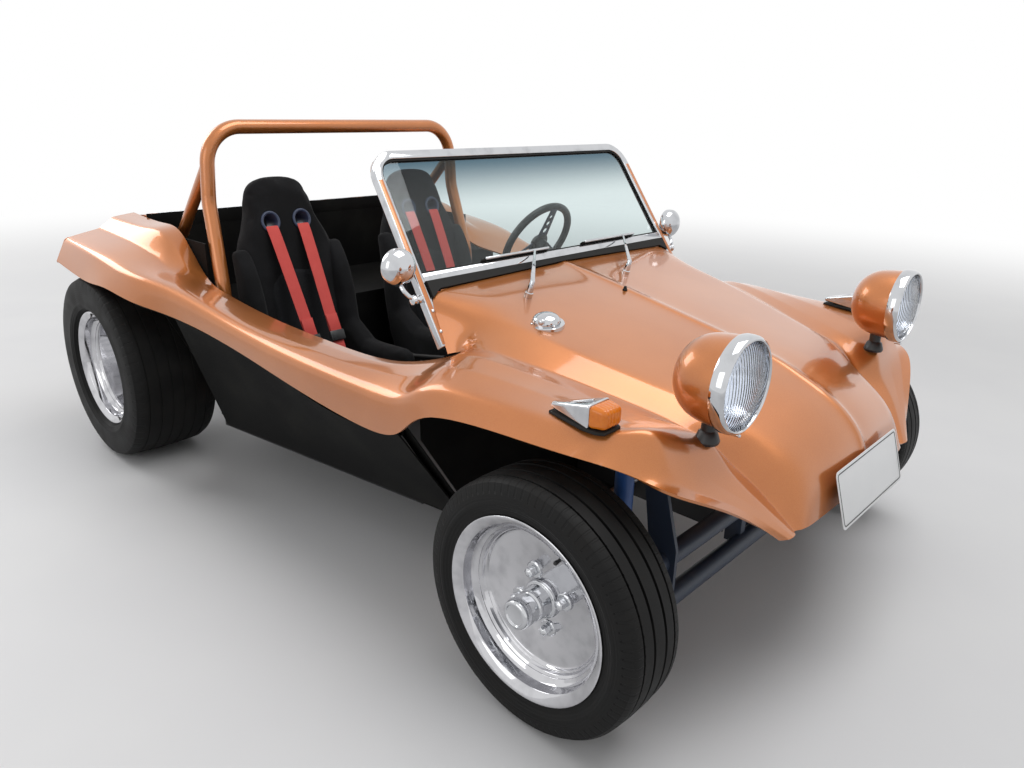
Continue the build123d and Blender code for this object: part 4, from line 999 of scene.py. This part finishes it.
corners = [on_signal(-0.035, 0.036, -0.026), on_signal(0.035, 0.152, 0.026)]
housing = block("signal_housing_left", *corners)
pick(housing, lambda f: all(v.co.y > signal_at.y + 0.15 for v in f.verts), "FACE")
bpy.ops.transform.resize(value=(0.22, 1, 0.24), center_override=on_signal(0, 0.152, -0.016))
shut(housing)
shape_with(housing, "BEVEL", width=0.013, segments=6, angle_limit=math.radians(30))
fit_pair(housing, chrome, "chrome", "turn_signals")
corners = [on_signal(-0.033, 0, -0.024), on_signal(0.033, 0.0395, 0.024)]
nose_cap = block("signal_lens_left", *corners)
pick(nose_cap, lambda f: all(v.co.y < signal_at.y + 0.001 for v in f.verts), "FACE")
bpy.ops.transform.resize(value=(0.84, 1, 0.8), center_override=signal_at)
shut(nose_cap)
shape_with(nose_cap, "BEVEL", width=0.010, segments=6, angle_limit=math.radians(30))
fit_pair(nose_cap, amber, "amber_lens", "signal_lenses")
pad_half = [(0.026, 0.002), (0.0355, 0.018), (0.0355, 0.05), (0.012, 0.152)]
pad_line = [(-0.026, 0.002), *pad_half, *[(-x, y) for x, y in pad_half[:0:-1]]]
pad_line = [on_signal(x, y, -0.0295) for x, y in pad_line]
pad = slab("signal_gasket_left", pad_line, Vector((0, 0, 0.0065)), 0.002, 2)
fit_pair(pad, rubber, "rubber")
ends = [on_signal(0, 0.05, 0.0245), on_signal(0, 0.142, -0.0085)]
ridge = between("signal_ridge_left", *ends, (0.0035, 0.0015), 0.004, Vector((0, 0, 1)))
fit_pair(ridge, chrome, "chrome")

# Tail lamps: round red lenses, domed and ribbed, in bright rims that are screwed to the fenders'
# tail ends.
red = Finish("red_lens", (0.45, 0.01, 0.01), Roughness=0.12)
red.feed(Base_Color=red.mix(red.noise(90), (0.40, 0.008, 0.008), (0.55, 0.02, 0.018)))
red.bump((red.axis("X") * 1500).wave(), 0.0004, 0.6)
tail_at = spot(790, 2226.8, 722)
tail_rim = [(0, 0), (0, 39.5), (7, 39.5), (11, 38), (12.5, 35.5), (11, 33.5), (8, 33), (8, 0)]
tail_rim = turned("tail_rim_left", tail_rim, tail_at, rearward, 56)
fit_pair(tail_rim, chrome, "chrome", "tail_lamps")
tail_dome = flowing([(8, 33), (16, 31), (21, 24), (24, 12), (25, 0)], 4)
tail_dome = turned("tail_lens_left", [(8, 0), *tail_dome], tail_at, rearward, 56)
fit_pair(tail_dome, red, "red_lens")

# Number plate: a blank white pressed sheet with a thin dark border set in from its edge, on a
# carrier under the nose.
plate_station, plate_height, plate_tilt = -386, 457, -17


def on_plate(x, up, out):
    """A place by its way across, up and proud of the plate's leaning plane."""
    lean = math.radians(plate_tilt)
    station = plate_station - math.sin(lean) * up - math.cos(lean) * out
    return spot(x, station, plate_height + math.cos(lean) * up - math.sin(lean) * out)


def round_box(half_across, half_up, bend):
    """The corners of an upright rectangle with rounded corners, across and up."""
    steps = 6
    line = []
    for turn, (x, up) in enumerate(((1, 1), (-1, 1), (-1, -1), (1, -1))):
        middle = Vector((x * (half_across - bend), up * (half_up - bend)))
        for step in range(steps + 1):
            angle = math.pi / 2 * (turn + step / steps)
            line.append(middle + Vector((bend * math.cos(angle), bend * math.sin(angle))))
    return line


def plate_slab(name, outline, front, back, edge, middle=(0, 0)):
    """A flat piece in the plate's plane, from its front face to its back face."""
    places = [on_plate(middle[0] + p.x, middle[1] + p.y, front) for p in outline]
    return slab(name, places, on_plate(0, 0, back) - on_plate(0, 0, front), edge)


plate = Finish("plate_white", (0.80, 0.81, 0.82), Roughness=0.3)
plate.feed(Base_Color=plate.mix(plate.noise(12, 3), (0.78, 0.79, 0.80), (0.84, 0.845, 0.85)))
sheet = plate_slab("number_plate_sheet", round_box(184, 67, 12), 0, -1.6, 0.0005)
fit(sheet, plate, "plate_white", "number_plate")
border_lines = []
for outline in (round_box(178, 61, 9), round_box(175.6, 58.6, 7)):
    border_lines.append([on_plate(p.x, p.y, 0.2) for p in [*outline, outline[0]]])
depth = on_plate(0, 0, 0.3) - on_plate(0, 0, 0)
border = banded("number_plate_border", *border_lines, depth)
fit(border, black_trim, "black_plastic")
carrier = plate_slab("number_plate_carrier", round_box(150, 18, 6), -2, -5, 0.0008)
fit(carrier, black_steel, "black_steel")
for side in (-1, 1):
    name, middle = f"number_plate_stay_{side + 1}", (side * 90, 10)
    stay = plate_slab(name, round_box(16, 10, 3), -5, -45, 0.001, middle)
    fit(stay, black_steel, "black_steel")

# Seats: two high-backed buckets in black knitted cloth over foam. Each has a back pad with a
# rounded top, side bolsters that run down from the back and forward along the cushion, a grey
# centre panel, and two belt holes lined with grey plastic rings.
fabric = Finish("seat_fabric", (0.008, 0.008, 0.009), Roughness=0.92, Specular_IOR_Level=0.15)
fabric.shader.inputs["Sheen Weight"].default_value = 0.06
fabric.shader.inputs["Sheen Roughness"].default_value = 0.5
worn = fabric.steps(fabric.noise(7, 4), 0.4, 0.75)
stitch = fabric.cells(900, stretch=(1, 1, 0.6))
fabric.feed(
    Base_Color=fabric.mix(
        worn * 0.7 + stitch * 0.3, (0.006, 0.006, 0.0065), (0.017, 0.017, 0.019)
    )
)
fabric.bump(stitch, 0.0007, 0.7)
panel_cloth = Finish("seat_panel", (0.02, 0.021, 0.023), Roughness=0.95, Specular_IOR_Level=0.15)
knit = panel_cloth.cells(620, stretch=(1, 1, 0.5))
panel_cloth.feed(
    Base_Color=panel_cloth.mix(knit, (0.012, 0.0125, 0.014), (0.030, 0.031, 0.034))
)
panel_cloth.bump(knit, 0.001, 0.7)
ring_grey = Finish("ring_plastic", (0.035, 0.05, 0.10), Roughness=0.4)
ring_grey.feed(
    Base_Color=ring_grey.mix(ring_grey.noise(40, 3), (0.03, 0.042, 0.085), (0.05, 0.066, 0.12))
)
ring_grey.bump(ring_grey.noise(300, 2), 0.0002, 0.4)

seat_x, seat_station, seat_height = 309, 1494, 330
recline = math.radians(13)


def on_back(x, up, out):
    """A place on the left seat's back: across from its middle, up it and proud of its face."""
    station = seat_station + up * math.sin(recline) - out * math.cos(recline)
    height = seat_height + up * math.cos(recline) + out * math.sin(recline)
    return spot(seat_x + x, station, height)


back_out = on_back(0, 0, 1) - on_back(0, 0, 0)


def stuffed(piece, pressure, most, voxel=0.006):
    """Swell a pad like stuffed cloth: remeshed, blown up a little and smoothed."""
    moments, stiffness = 20, 12
    shape_with(piece, "REMESH", mode="VOXEL", voxel_size=voxel)
    take(piece)
    start = [v.co.copy() for v in piece.data.vertices]
    cloth = piece.modifiers.new("cloth", "CLOTH")
    cloth.settings.use_pressure = True
    cloth.settings.uniform_pressure_force = pressure
    cloth.settings.effector_weights.gravity = 0
    cloth.settings.quality = 4
    cloth.settings.tension_stiffness = stiffness
    cloth.settings.compression_stiffness = stiffness
    cloth.settings.bending_stiffness = 3
    cloth.collision_settings.use_collision = False
    for moment in range(1, moments + 1):
        bpy.context.scene.frame_set(moment)
    bpy.ops.object.modifier_apply(modifier=cloth.name)
    bpy.context.scene.frame_set(1)
    for v, before in zip(piece.data.vertices, start):
        way = v.co - before
        if way.length > most:
            v.co = before + way.normalized() * most
    shape_with(piece, "SMOOTH", factor=0.6, iterations=8)


def drilled(piece, place, axle, bore, reach, count):
    """Drill a round hole through a piece, out to a reach on both sides of a place."""
    drill = [(-reach, 0), (-reach, bore), (reach, bore), (reach, 0)]
    drill = turned("drill", drill, place, axle, count)
    shape_with(piece, "BOOLEAN", object=drill, operation="DIFFERENCE", solver="EXACT")
    take(drill)
    bpy.ops.object.delete()


def both_sides(half):
    """A line from its middle out to one side, continued with its mirror image."""
    return [*half, *[Vector((-p.x, p.y)) for p in reversed(half[1:])]]


def back_slab(name, outline, front, back, edge):
    """A flat piece along the seat's back, from its front face to its back face."""
    places = [on_back(p.x, p.y, front) for p in outline]
    return slab(name, places, on_back(0, 0, back) - on_back(0, 0, front), edge)


back_half = [(0, 700), (54, 697), (98, 678), (126, 634), (142, 588), (163, 535), (190, 470)]
back_half += [(208, 400), (215, 200), (206, 40), (190, -55)]
back_outline = both_sides(flowing(back_half, 4))
back_pad = back_slab("seat_back_left", back_outline, -4, -54, 0.012)
stuffed(back_pad, 3.0, 0.016)
hole_x, hole_up = 62, 539
for side in (-1, 1):
    drilled(back_pad, on_back(side * hole_x, hole_up, 0), back_out, 29, 120, 40)
fit(back_pad, fabric, "seat_fabric", "seats", smooth=50)

wing_x, wing_wide = 156, 58
wing_low = [(-344, 262), (-346, 405), (-310, 424), (-200, 432), (-110, 440)]
wing_high = [(160, 56), (280, 50), (360, 36), (420, 14), (462, -8), (455, -44), (100, -50)]
wing_line = [spot(seat_x + wing_x, seat_station + s, z) for s, z in wing_low]
wing_line += [on_back(wing_x, up, out) for up, out in wing_high]
wing_line += [spot(seat_x + wing_x, seat_station + 30, 262)]
wing = slab("seat_wing_outer_left", wing_line, Vector((wing_wide / 1000, 0, 0)), 0.014)
stuffed(wing, 3.0, 0.014)
inward = (-(2 * wing_x + wing_wide) / 1000, 0, 0)
inner_wing = copied(wing, "seat_wing_inner_left", move=inward)
cushion_half = 142
cushion_line = [(-362, 300), (-362, 372), (-300, 388), (-150, 372), (-20, 348), (10, 300)]
cushion_line = flowing([*cushion_line, (0, 258), (-345, 258)], 3)
places = [spot(seat_x - cushion_half, seat_station + p.x, p.y) for p in cushion_line]
cushion = slab("seat_cushion_left", places, Vector((2 * cushion_half / 1000, 0, 0)), 0.012)
stuffed(cushion, 3.0, 0.012)
panel_half = flowing([(0, 372), (60, 360), (104, 318), (116, 240), (112, 60), (100, -10)], 4)
panel = back_slab("seat_panel_left", both_sides(panel_half), 2, 15, 0.006)
stuffed(panel, 2.0, 0.005, voxel=0.005)
seat_pieces = [(back_pad, fabric, 0.8), (wing, fabric, 0.8), (inner_wing, fabric, 0.8)]
seat_pieces += [(cushion, fabric, 0.8), (panel, panel_cloth, 0.7)]
for piece, finish, fill in seat_pieces:
    if piece is not back_pad:
        fit(piece, finish, "seat_fabric", smooth=50)
    fit(opposite(piece), finish, "seat_fabric", smooth=50)
ring = [(-58, 24), (-58, 29), (8, 29), (11, 34), (14, 37), (17, 36), (18, 32), (16, 27)]
ring += [(8, 24.5), (-58, 24)]
for name, side in (("outer", 1), ("inner", -1)):
    place = on_back(side * hole_x, hole_up, 0)
    lining = turned(f"belt_ring_{name}_left", ring, place, back_out, 48)
    fit_pair(lining, ring_grey, "black_plastic")

# Harness: red webbing that comes through each ring, runs down the seat's back and over the cushion,
# with a folded-back length and a black buckle near its lower end.
webbing = Finish("belt_web", (0.70, 0.08, 0.06), Roughness=0.65)
threads = (webbing.axis("X") * 2600).wave()
worn = webbing.noise(30, 4) * 0.6 + threads * 0.25
webbing.feed(Base_Color=webbing.mix(worn, (0.62, 0.060, 0.050), (0.78, 0.105, 0.085)))
webbing.bump(threads + webbing.noise(1500, 1, (0.2, 1, 1)), 0.0003, 0.6)


def strap(name, x, line, width, thickness, drift=0.0):
    """A flat strap along a line in the car's side view, which drifts across as it falls."""
    flat = [Vector((p.y, p.z)) for p in line]
    outline = beside(flat, thickness / 2) + beside(flat, -thickness / 2)[::-1]
    top = max(p.y for p in outline)
    places = [Vector((x - width / 2 + drift * (top - p.y), p.x, p.y)) for p in outline]
    return slab(name, places, Vector((width, 0, 0)), thickness * 0.3, 2)


web_wide, web_thick = 0.046, 0.0026
for name, side in (("outer", 1), ("inner", -1)):
    x, drift = (seat_x + side * hole_x) / 1000, side * -0.034
    run = [on_back(0, up, out) for up, out in ((500, -58), (513, -30), (516, 6), (506, 22))]
    run += [spot(0, s, z) for s, z in ((1505, 672), (1420, 500), (1396, 452), (1372, 404))]
    web = strap(f"belt_{name}_left", x, flowing(run, 5), web_wide, web_thick, drift)
    fit_pair(web, webbing, "belt_web", "harnesses")
    low_x = x + drift * 0.34
    line = [spot(0, 1433, 540), spot(0, 1404, 482)]
    fold = strap(f"belt_fold_{name}_left", low_x, line, 0.0455, 0.0025)
    fit_pair(fold, webbing, "belt_web")
    line = [spot(0, 1404, 486), spot(0, 1388, 452)]
    slide = strap(f"belt_slide_{name}_left", low_x + drift * 0.03, line, 0.058, 0.008)
    fit_pair(slide, black_trim, "black_plastic")

# Steering wheel: a padded rim on three drilled spokes and a flat hub, with a cap in its middle.
# It turns with the shaft in the steering column.
wheel_tilt = math.radians(28)
hub_at = spot(309, 960, 800)
wheel_axle = Vector((0, math.cos(wheel_tilt), math.sin(wheel_tilt)))
wheel_up = Vector((0, -math.sin(wheel_tilt), math.cos(wheel_tilt)))
wheel_r, grip_r, grip_sides = 146, 13, 16
angles = [n * math.tau / grip_sides for n in range(grip_sides + 1)]
circle = [(grip_r * math.cos(a), wheel_r + grip_r * math.sin(a)) for a in angles]
grip = turned("steering_grip", circle, hub_at, wheel_axle, 72)
fit(grip, black_trim, "black_plastic", "steering_wheel", body="steering_wheel")
hub = [(-41, 0), (-41, 22), (-18, 24), (-14, 38), (-9, 38), (-6, 30), (4, 26), (8, 20), (9, 0)]
hub = turned("steering_hub", hub, hub_at, wheel_axle, 48)
fit(hub, black_trim, "black_plastic", body="steering_wheel")
spoke_line = [(0.02, -0.024), (0.145, -0.015), (0.145, 0.015), (0.02, 0.024)]
for count in range(3):
    turn = Matrix.Rotation(math.tau * count / 3, 3, wheel_axle)
    out, side = turn @ wheel_up, turn @ wheel_up.cross(wheel_axle)
    outline = [hub_at + out * a + side * b - wheel_axle * 0.013 for a, b in spoke_line]
    spoke = slab(f"steering_spoke_{count}", outline, wheel_axle * 0.004, 0.0008)
    for reach, bore in ((0.055, 10), (0.085, 8.5), (0.112, 7)):
        drilled(spoke, hub_at + out * reach, wheel_axle, bore, 20, 24)
    fit(spoke, ring_grey, "black_plastic", body="steering_wheel")

# Wheels: polished alloy rims with a stepped lip and a flat disc. The front ones have a chromed
# bearing cap, four domed nuts on large washers and a black valve; the rear ones are deep.
polished = Finish("polished_alloy", (0.60, 0.60, 0.61), Metallic=1.0, Roughness=0.08)
swirl = polished.steps(polished.noise(26, 4), 0.4, 0.8)
polished.feed(
    Base_Color=polished.mix(swirl, (0.60, 0.60, 0.62), (0.46, 0.46, 0.48)),
    Roughness=swirl * 0.1 + 0.05,
)
drum_iron = chassis_paint("drum_iron", (0.05, 0.05, 0.052))


def rim_profile(half, face):
    """The closed section of a rim: along the axle and away from it."""
    lip = [(-9, 190), (-7, 203), (-3, 208), (0, 208), (1, 205), (-1, 200), (-7, 189)]
    lip += [(-11, 183), (-34, 181), (-40, 176), (-50, 163), (-58, 160)]
    disc = [(8, 158), (2, 155), (0, 150), (0, 34), (-9, 34), (-9, 160)]
    well = [(46, 160), (34, 182.5), (0, 201), (0, 208), (7, 208), (9, 190), (34, 190), (44, 168)]
    bed = [(-44, 168), (-34, 190), (-9, 190)]
    parts = ((half, lip), (face, disc), (-half, well), (half, bed))
    return [(start + along, away) for start, part in parts for along, away in part]


def on_wheels(pieces, bodies):
    """Fit a wheel's left-hand pieces, and their mirror images on the right."""
    for piece, finish, slot, stands_for in pieces:
        for side, body in zip(("left", "right"), bodies):
            made = piece if side == "left" else opposite(piece)
            fit(made, finish, slot, *[f"{node}_{side}" for node in stands_for], body=body)


def nut_ring(name, middle, face, circle_r, count, start):
    """Domed hexagon nuts on washers, set in a circle on a wheel's disc."""
    washer_r, washer_tall, nut_r, nut_tall = 19, 4, 11.5, 16
    place = middle + Vector((face, circle_r * math.sin(start), circle_r * math.cos(start))) / 1000
    washer = [(0, 0), (0, washer_r), (2.5, washer_r), (washer_tall, washer_r - 2), (washer_tall, 0)]
    washer = turned(f"{name}_washer", washer, place, (1, 0, 0), 24)
    bpy.ops.object.select_all(action="DESELECT")
    bpy.ops.mesh.primitive_cylinder_add(
        vertices=6,
        radius=nut_r / 1000,
        depth=nut_tall / 1000,
        location=place + Vector((washer_tall + nut_tall / 2, 0, 0)) / 1000,
        rotation=(0, math.pi / 2, 0),
    )
    nut = bpy.context.object
    bpy.ops.object.transform_apply(location=True, rotation=True)
    bpy.ops.object.mode_set(mode="EDIT")
    far = place.x + (washer_tall + nut_tall) / 1000
    pick(nut, lambda f: all(abs(v.co.x - far) < 1e-4 for v in f.verts), "FACE")
    for thickness, rise in ((nut_r / 3500, 0.0025), (nut_r / 3000, 0.002)):
        bpy.ops.mesh.inset(thickness=thickness)
        bpy.ops.transform.translate(value=(rise, 0, 0))
    bpy.ops.object.mode_set(mode="OBJECT")
    shape_with(nut, "BEVEL", width=0.0009, segments=2, angle_limit=math.radians(30))
    ring = []
    for number in range(count):
        turn = math.tau * number / count
        for piece in (washer, nut):
            ring.append(copied(piece, f"{name}_{number}", turn=-turn, about=middle))
    for piece in (washer, nut):
        take(piece)
        bpy.ops.object.delete()
    return joined(ring, name)


front_hub, rear_hub = spot(712, 0, 286), spot(737.5, 2000, 333)
outward = (1, 0, 0)
front_face, rear_face = 13, -47


def cap_profile(face, end):
    """A bearing cap: a foot on the disc, a groove ring and a dished end."""
    foot = [(0, 0), (0, 43), (5, 43), (7, 41), (8, 36), (26, 35)]
    ring = [(-50, 34), (-46, 32.5), (-44, 30.5), (-42, 32.5), (-38, 33.5), (-7, 33), (-2, 30.5)]
    ring += [(0, 27), (0, 24), (-4, 22.5), (-4, 0)]
    return [(start + s, r) for start, part in ((face, foot), (end, ring)) for s, r in part]


drum = ((0.5, 34), (0.5, 118), (5, 122), (40, 122), (42, 119), (46, 118), (46, 40))
valve_stem = [(0, 0), (0, 6), (6, 6), (8, 4.2), (22, 3.8), (23, 4.6), (30, 4.6), (32, 3), (32, 0)]
for end, hub_at, half, face, cap_end in (
    ("front", front_hub, 79, front_face, 98),
    ("rear", rear_hub, 129, rear_face, 29),
):
    rim = turned(f"{end}_wheel_rim_left", rim_profile(half, face), hub_at, outward, 96)
    shape_with(rim, "BEVEL", width=0.001, segments=2, angle_limit=math.radians(30))
    cap = turned(f"{end}_wheel_cap_left", cap_profile(face, cap_end), hub_at, outward, 64)
    shape_with(cap, "BEVEL", width=0.0006, segments=2, angle_limit=math.radians(30))
    nuts = nut_ring(f"{end}_wheel_nuts_left", hub_at, face, 65, 4, math.radians(-160))
    foot = hub_at + Vector((face, -57, 128)) / 1000
    valve = turned(f"{end}_wheel_valve_left", valve_stem, foot, (1, 0.05, -0.12), 16)
    behind = [(face - 9 - back_by, away) for back_by, away in drum]
    brake = turned(f"{end}_drum_left", behind, hub_at, outward, 64)
    wheel_pieces = [
        (rim, polished, "wheel_alloy", [f"{end}_rim"]),
        (cap, chrome, "chrome", []),
        (nuts, chrome, "chrome", []),
        (valve, black_trim, "black_plastic", []),
        (brake, drum_iron, "steel", []),
    ]
    on_wheels(wheel_pieces, (f"{end}_wheel_left", f"{end}_wheel_right"))

# Tyres: black rubber moulded in one with its beads. The front tread has four grooves round it and
# short slots across its shoulders; the wide rear tread is worn smooth but for shallow grooves.
def tyre_rubber(name, hub_at, slots, shoulder, deep):
    """Tyre rubber, with slots across the tread's shoulders pressed into its surface."""
    rubber = Finish(name, (0.004, 0.004, 0.004), Roughness=0.62, Specular_IOR_Level=0.22)
    dusty = rubber.steps(rubber.noise(14, 4), 0.35, 0.75)
    rubber.feed(
        Base_Color=rubber.mix(dusty, (0.0030, 0.0030, 0.0030), (0.009, 0.0085, 0.008)),
        Roughness=dusty * 0.15 + 0.55,
    )
    y, z = rubber.axis("Y") - hub_at.y, rubber.axis("Z") - hub_at.z
    angle = z.work("ARCTAN2", z, y)
    away = (y * y + z * z) ** 0.5
    across = abs(abs(rubber.axis("X")) - hub_at.x)
    on_shoulder = rubber.steps(across, shoulder, shoulder + 0.004)
    on_tread = rubber.steps(away, hub_at.z - 0.032, hub_at.z - 0.026)
    slot = rubber.steps((angle * slots).wave(), 0.62, 0.80) * (on_shoulder * on_tread)
    side = rubber.steps(hub_at.z - 0.035 - away, 0, 0.004)
    rings = (away * 900).wave() * side * 0.0002
    return rubber.bump(slot * -deep + rubber.noise(300, 3) * 0.0002 + rings, 1.0)


def tyre_section(half, side_half, tread_half, crown, grooves, deep, drop):
    """The closed section of a tyre, with a groove at each given distance from its middle."""
    right = [(half - 12, 191), (half - 9, 194), (half - 6, 203), (half - 3, 211)]
    side = [(-7, 217), (-2, 226), (-0.5, 232), (0.5, 234), (0.5, 237), (0, 239)]
    side += [(0, (206 + crown) / 2), (-2, crown - 26), (-7, crown - 14)]
    right += [(side_half + along, away) for along, away in side]
    right += [((side_half + tread_half) / 2, crown - drop - 6), (tread_half, crown - drop)]
    for middle, width in grooves:
        top = crown - drop * (middle / tread_half) ** 2
        outer, inner = middle + width / 2, middle - width / 2
        right += [(outer, top), (outer - 0.8, top - deep), (inner + 0.8, top - deep), (inner, top)]
    inside = [(half - 22, 192), (half - 20, 213), (side_half - 9, 238)]
    inside += [(side_half - 10, crown - 44), (tread_half, crown - 22), (0, crown - 17)]
    left = [(-along, away) for along, away in reversed(right)]
    return [*right, *left, *[(-x, away) for x, away in inside], *inside[-2::-1], right[0]]


front_section = tyre_section(79, 83, 66, 286, ((50, 5), (19, 7)), 6, 3.5)
rear_section = tyre_section(129, 147.5, 122, 333, ((100, 4), (60, 6), (20, 6)), 2.2, 5)
for end, hub_at, slots, shoulder, deep, section in (
    ("front", front_hub, 90, 0.046, 0.0055, front_section),
    ("rear", rear_hub, 60, 0.112, 0.0012, rear_section),
):
    finish = tyre_rubber(f"{end}_tyre_rubber", hub_at, slots, shoulder, deep)
    tyre = turned(f"{end}_tyre_tread_left", section, hub_at, outward, 120)
    bodies = (f"{end}_wheel_left", f"{end}_wheel_right")
    on_wheels([(tyre, finish, "tyre", [f"{end}_tyre"])], bodies)

# Engine dress: pressed covers with bails on the cylinder heads, black tin over the fins, the
# fan belt on its two pulleys, the generator's strap, hose sleeves and the air cleaner's rims.
for name, side in (("left", 1), ("right", -1)):
    low_corner, high_corner = spot(side * 361, 2188, 281.5), spot(side * 401, 2428, 376.5)
    cover = block(f"valve_cover_{name}", low_corner, high_corner)
    shut(cover)
    shape_with(cover, "BEVEL", width=0.011, segments=4, angle_limit=math.radians(30))
    fit(cover, bright_steel, "steel")
    bail = [(396, 383), (404, 374), (405, 330), (404, 285), (396, 275)]
    bail = flowing([spot(side * x, 2308, z) for x, z in bail], 4)
    fit(piped(f"valve_bail_{name}", bail, 0.002, 8), bright_steel, "steel")
    tin_line = [(119, 2178), (272, 2178), (272, 2446), (119, 2446)]
    tin_line = [spot(side * x, station, 403.6) for x, station in tin_line]
    tin = slab(f"cooling_tin_{name}", tin_line, Vector((0, 0, 0.002)), 0.0006)
    fit(tin, shroud_black, "shroud_paint")
    sleeve = [(0, 15.2), (0, 18.5), (3, 19.5), (6, 18), (34, 18), (37, 19.5), (40, 18.5)]
    sleeve = [*sleeve, (40, 15.2), (0, 15.2)]
    hose_at = spot(side * 200, 2400, 470)
    sleeve = turned(f"manifold_sleeve_{name}", sleeve, hose_at, (side, 0, 0), 32)
    fit(sleeve, rubber, "rubber")
    tip = [(0, 17.2), (0, 19.5), (13, 19.5), (15, 18.6), (15, 17.2), (0, 17.2)]
    tip = turned(f"exhaust_tip_{name}", tip, spot(side * 80, 2589.5, 188), rearward, 32)
    fit(tip, chrome, "chrome")
    seam = [(0, 45.5), (0, 48), (5, 48), (5, 45.5), (0, 45.5)]
    seam = turned(f"muffler_seam_{name}", seam, spot(side * 262, 2540, 188), (side, 0, 0), 48)
    fit(seam, stained, "exhaust_steel")

crank_up, generator_up, pulley_station = 333, 640, 2490


def pulley_profile(top, groove, hollow):
    """A pressed pulley: two flanges with the belt's groove between them, and a hub."""
    rim = [(-2, 0), (-2, top), (3, top), (5, groove), (15, groove), (17, top), (22, top)]
    return [*rim, (22, top - 8), (19, top - 14), *hollow]


hollow = [(19, 34), (23, 30), (26, 16), (33, 15), (33, 0)]
pulley = pulley_profile(88, 84.4, hollow)
pulley = turned("crank_pulley", pulley, spot(0, pulley_station, crank_up), rearward, 64)
fit(pulley, cast_alloy, "engine_alloy")
hollow = [(19, 24), (28, 22), (30, 14), (34, 13), (34, 0)]
pulley = pulley_profile(70, 66.4, hollow)
pulley = turned("generator_pulley", pulley, spot(0, pulley_station, generator_up), rearward, 56)
fit(pulley, cast_alloy, "engine_alloy")


def belt_loop(wide, narrow):
    """The closed line of a belt round the crank's and the generator's pulleys."""
    steps = 24
    lean = math.asin((wide - narrow) / (generator_up - crank_up))
    line = []
    for height, size, start, sweep in (
        (generator_up, narrow, lean, math.pi - 2 * lean),
        (crank_up, wide, math.pi - lean, math.pi + 2 * lean),
    ):
        for step in range(steps + 1):
            angle = start + sweep * step / steps
            x, up = size * math.cos(angle), height + size * math.sin(angle)
            line.append(spot(x, pulley_station + 5, up))
    return [*line, line[0]]


fan_belt = banded("fan_belt", belt_loop(90, 72), belt_loop(84.6, 66.6), (0, 0.01, 0))
fit(fan_belt, rubber, "rubber")
strap_ring = [(0, 50.2), (0, 52.5), (20, 52.5), (20, 50.2), (0, 50.2)]
strap_ring = turned("generator_strap", strap_ring, spot(0, 2405, generator_up), rearward, 48)
fit(strap_ring, black_steel, "black_steel")
end_cap = [(0, 30), (0, 51.5), (8, 51.5), (10, 50), (10, 30)]
end_cap = turned("generator_end", end_cap, spot(0, 2469, generator_up), rearward, 48)
fit(end_cap, cast_alloy, "engine_alloy")
duct_seam = [(0, 157), (0, 161), (3, 161), (3, 157), (0, 157)]
duct_seam = turned("shroud_seam", duct_seam, spot(0, 2307, generator_up), rearward, 72)
fit(duct_seam, shroud_black, "shroud_paint")
lid = [(-2, 0), (-2, 65), (0, 66.5), (5, 66.5), (8, 63), (11, 50), (12, 30), (12, 10), (16, 8)]
lid = turned("cleaner_lid", [*lid, (22, 5), (22, 0)], spot(150, 2440, 700), (0, 0, 1), 56)
fit(lid, chrome, "chrome")
base = [(0, 0), (0, 66), (4, 67), (8, 66), (8, 0)]
base = turned("cleaner_base", base, spot(150, 2440, 641), (0, 0, 1), 56)
fit(base, chrome, "chrome")

low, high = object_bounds()
